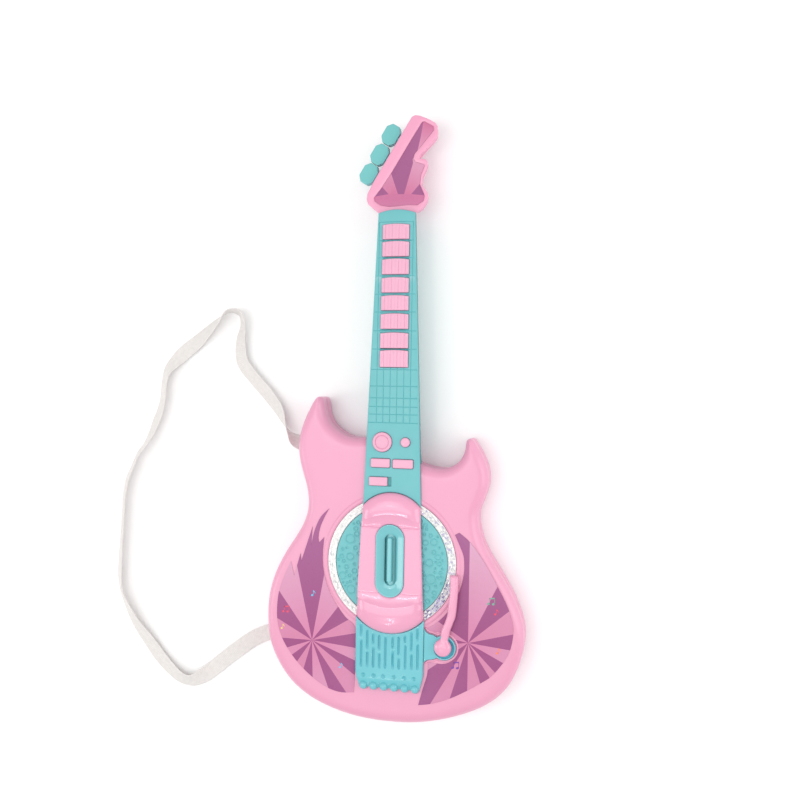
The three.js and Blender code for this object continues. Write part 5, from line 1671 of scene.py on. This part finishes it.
def screw(name, x, y, z0, zh, rh, rs, zb, zt, depth, node):
    """A pan-head screw seen from below, with a cross recess in its head."""
    P = circle(x, y, rh, 40)
    a, b = 0.16 * rh, 0.62 * rh
    cross = np.array([[a, a], [a, b], [-a, b], [-a, a], [-b, a], [-b, -a], [-a, -a], [-a, -b], [a, -b], [a, -a], [b, -a], [b, a]]) + np.array([x, y])
    F = Field(P, (), [circle(x, y, rh * k, 36) for k in (0.96, 0.88, 0.76)] + [ccw(cross), inset(ccw(cross), 0.12)], (), grid=0.8, gap=0.2)
    p = F.p
    z = z0 + round_off(dist(p, P), 0.5 * rh, 0.35 * (zh - z0))
    z = np.where(inside(p, cross) & (dist(p, cross) > 0.06), z0 + depth, z)
    m = Mesh()
    ids = m.verts(np.column_stack([p, z]))
    m.tris(F.t, ids, flip=True)
    L = F.loops[0]
    wall(m, [ids[i] for i in L], p[L], [(0.0, zh - 0.1), (0.1, zh), (rh - rs, zh), (rh - rs, zb), (rh - 0.25, zt)], flip=True, cap=True)
    obj(name, m, MAT["steel"], "case", node, sharp=30)


def strap_bar(name, x, y0, y1, node):
    m = Mesh()
    xf = lambda V: np.column_stack([x + V[:, 0], V[:, 2], 3.4 + V[:, 1]])
    lathe(m, [(0, y0), (1.45, y0), (1.75, y0 + 0.3), (1.75, y0 + 1.5), (1.6, y0 + 1.9), (1.6, y1 - 1.9), (1.75, y1 - 1.5), (1.75, y1 - 0.3), (1.45, y1), (0, y1)][::-1], 28, 0, xf)
    obj(name, m, MAT["steel"], "case", node, sharp=35)


door()
for i, (x, y) in enumerate(SCREWS):
    screw(f"case_screw_head_{i + 1}", x, y, 3.6, 5.8, 3.1, 1.5, 25.5, 26.6, 1.3, f"case_screw_{i + 1}")
screw("battery_door_screw_head", 0, -180.6, 0.3, 1.0, 2.7, 1.35, 8.6, 9.4, 0.45, "battery_door_screw")
strap_bar("strap_bar_upper", -85, -33.7, -14.3, "strap_anchor_upper")
strap_bar("strap_bar_lower", -111.4, -216.7, -197.3, "strap_anchor_lower")

# ------------------------------------------------------------------ materials of the CAD pieces that stay
KEEP = {"microphone_socket": "black", "fret_key_membrane": "rubber", "control_membrane": "rubber", "fret_key_board": "pcb", "main_board": "pcb", "led_board": "pcb",
        "slide_switch_body": "black", "strum_axle": "steel", "whammy_pivot_pin": "steel", "speaker_frame": "dark_metal", "speaker_cone": "paper",
        "speaker_magnet": "dark_metal", "battery_1": "jacket", "battery_2": "jacket", "battery_3": "jacket", "battery_contact_positive": "steel", "battery_contact_negative": "steel"}
for node, key in KEEP.items():
    o = frame["nodes"][node]
    o.data.materials.clear()
    o.data.materials.append(MAT[key])

# ------------------------------------------------------------------ floor
fl = Nodes("floor")
fl.link(fl.ramp(fl.noise(3.0, 2.0), [(0.3, (0.955, 0.955, 0.957, 1)), (0.7, (0.975, 0.975, 0.975, 1))]), fl.p.inputs["Base Color"])
fl.p.inputs["Roughness"].default_value = 0.85
me = bpy.data.meshes.new("floor")
me.from_pydata([(-30, -30, 0), (30, -30, 0), (30, 30, 0), (-30, 30, 0)], [], [(0, 1, 2, 3)])
me.materials.append(fl.mat)
floor = bpy.data.objects.new("floor", me)
floor.location.z = -0.0004
sc.collection.objects.link(floor)
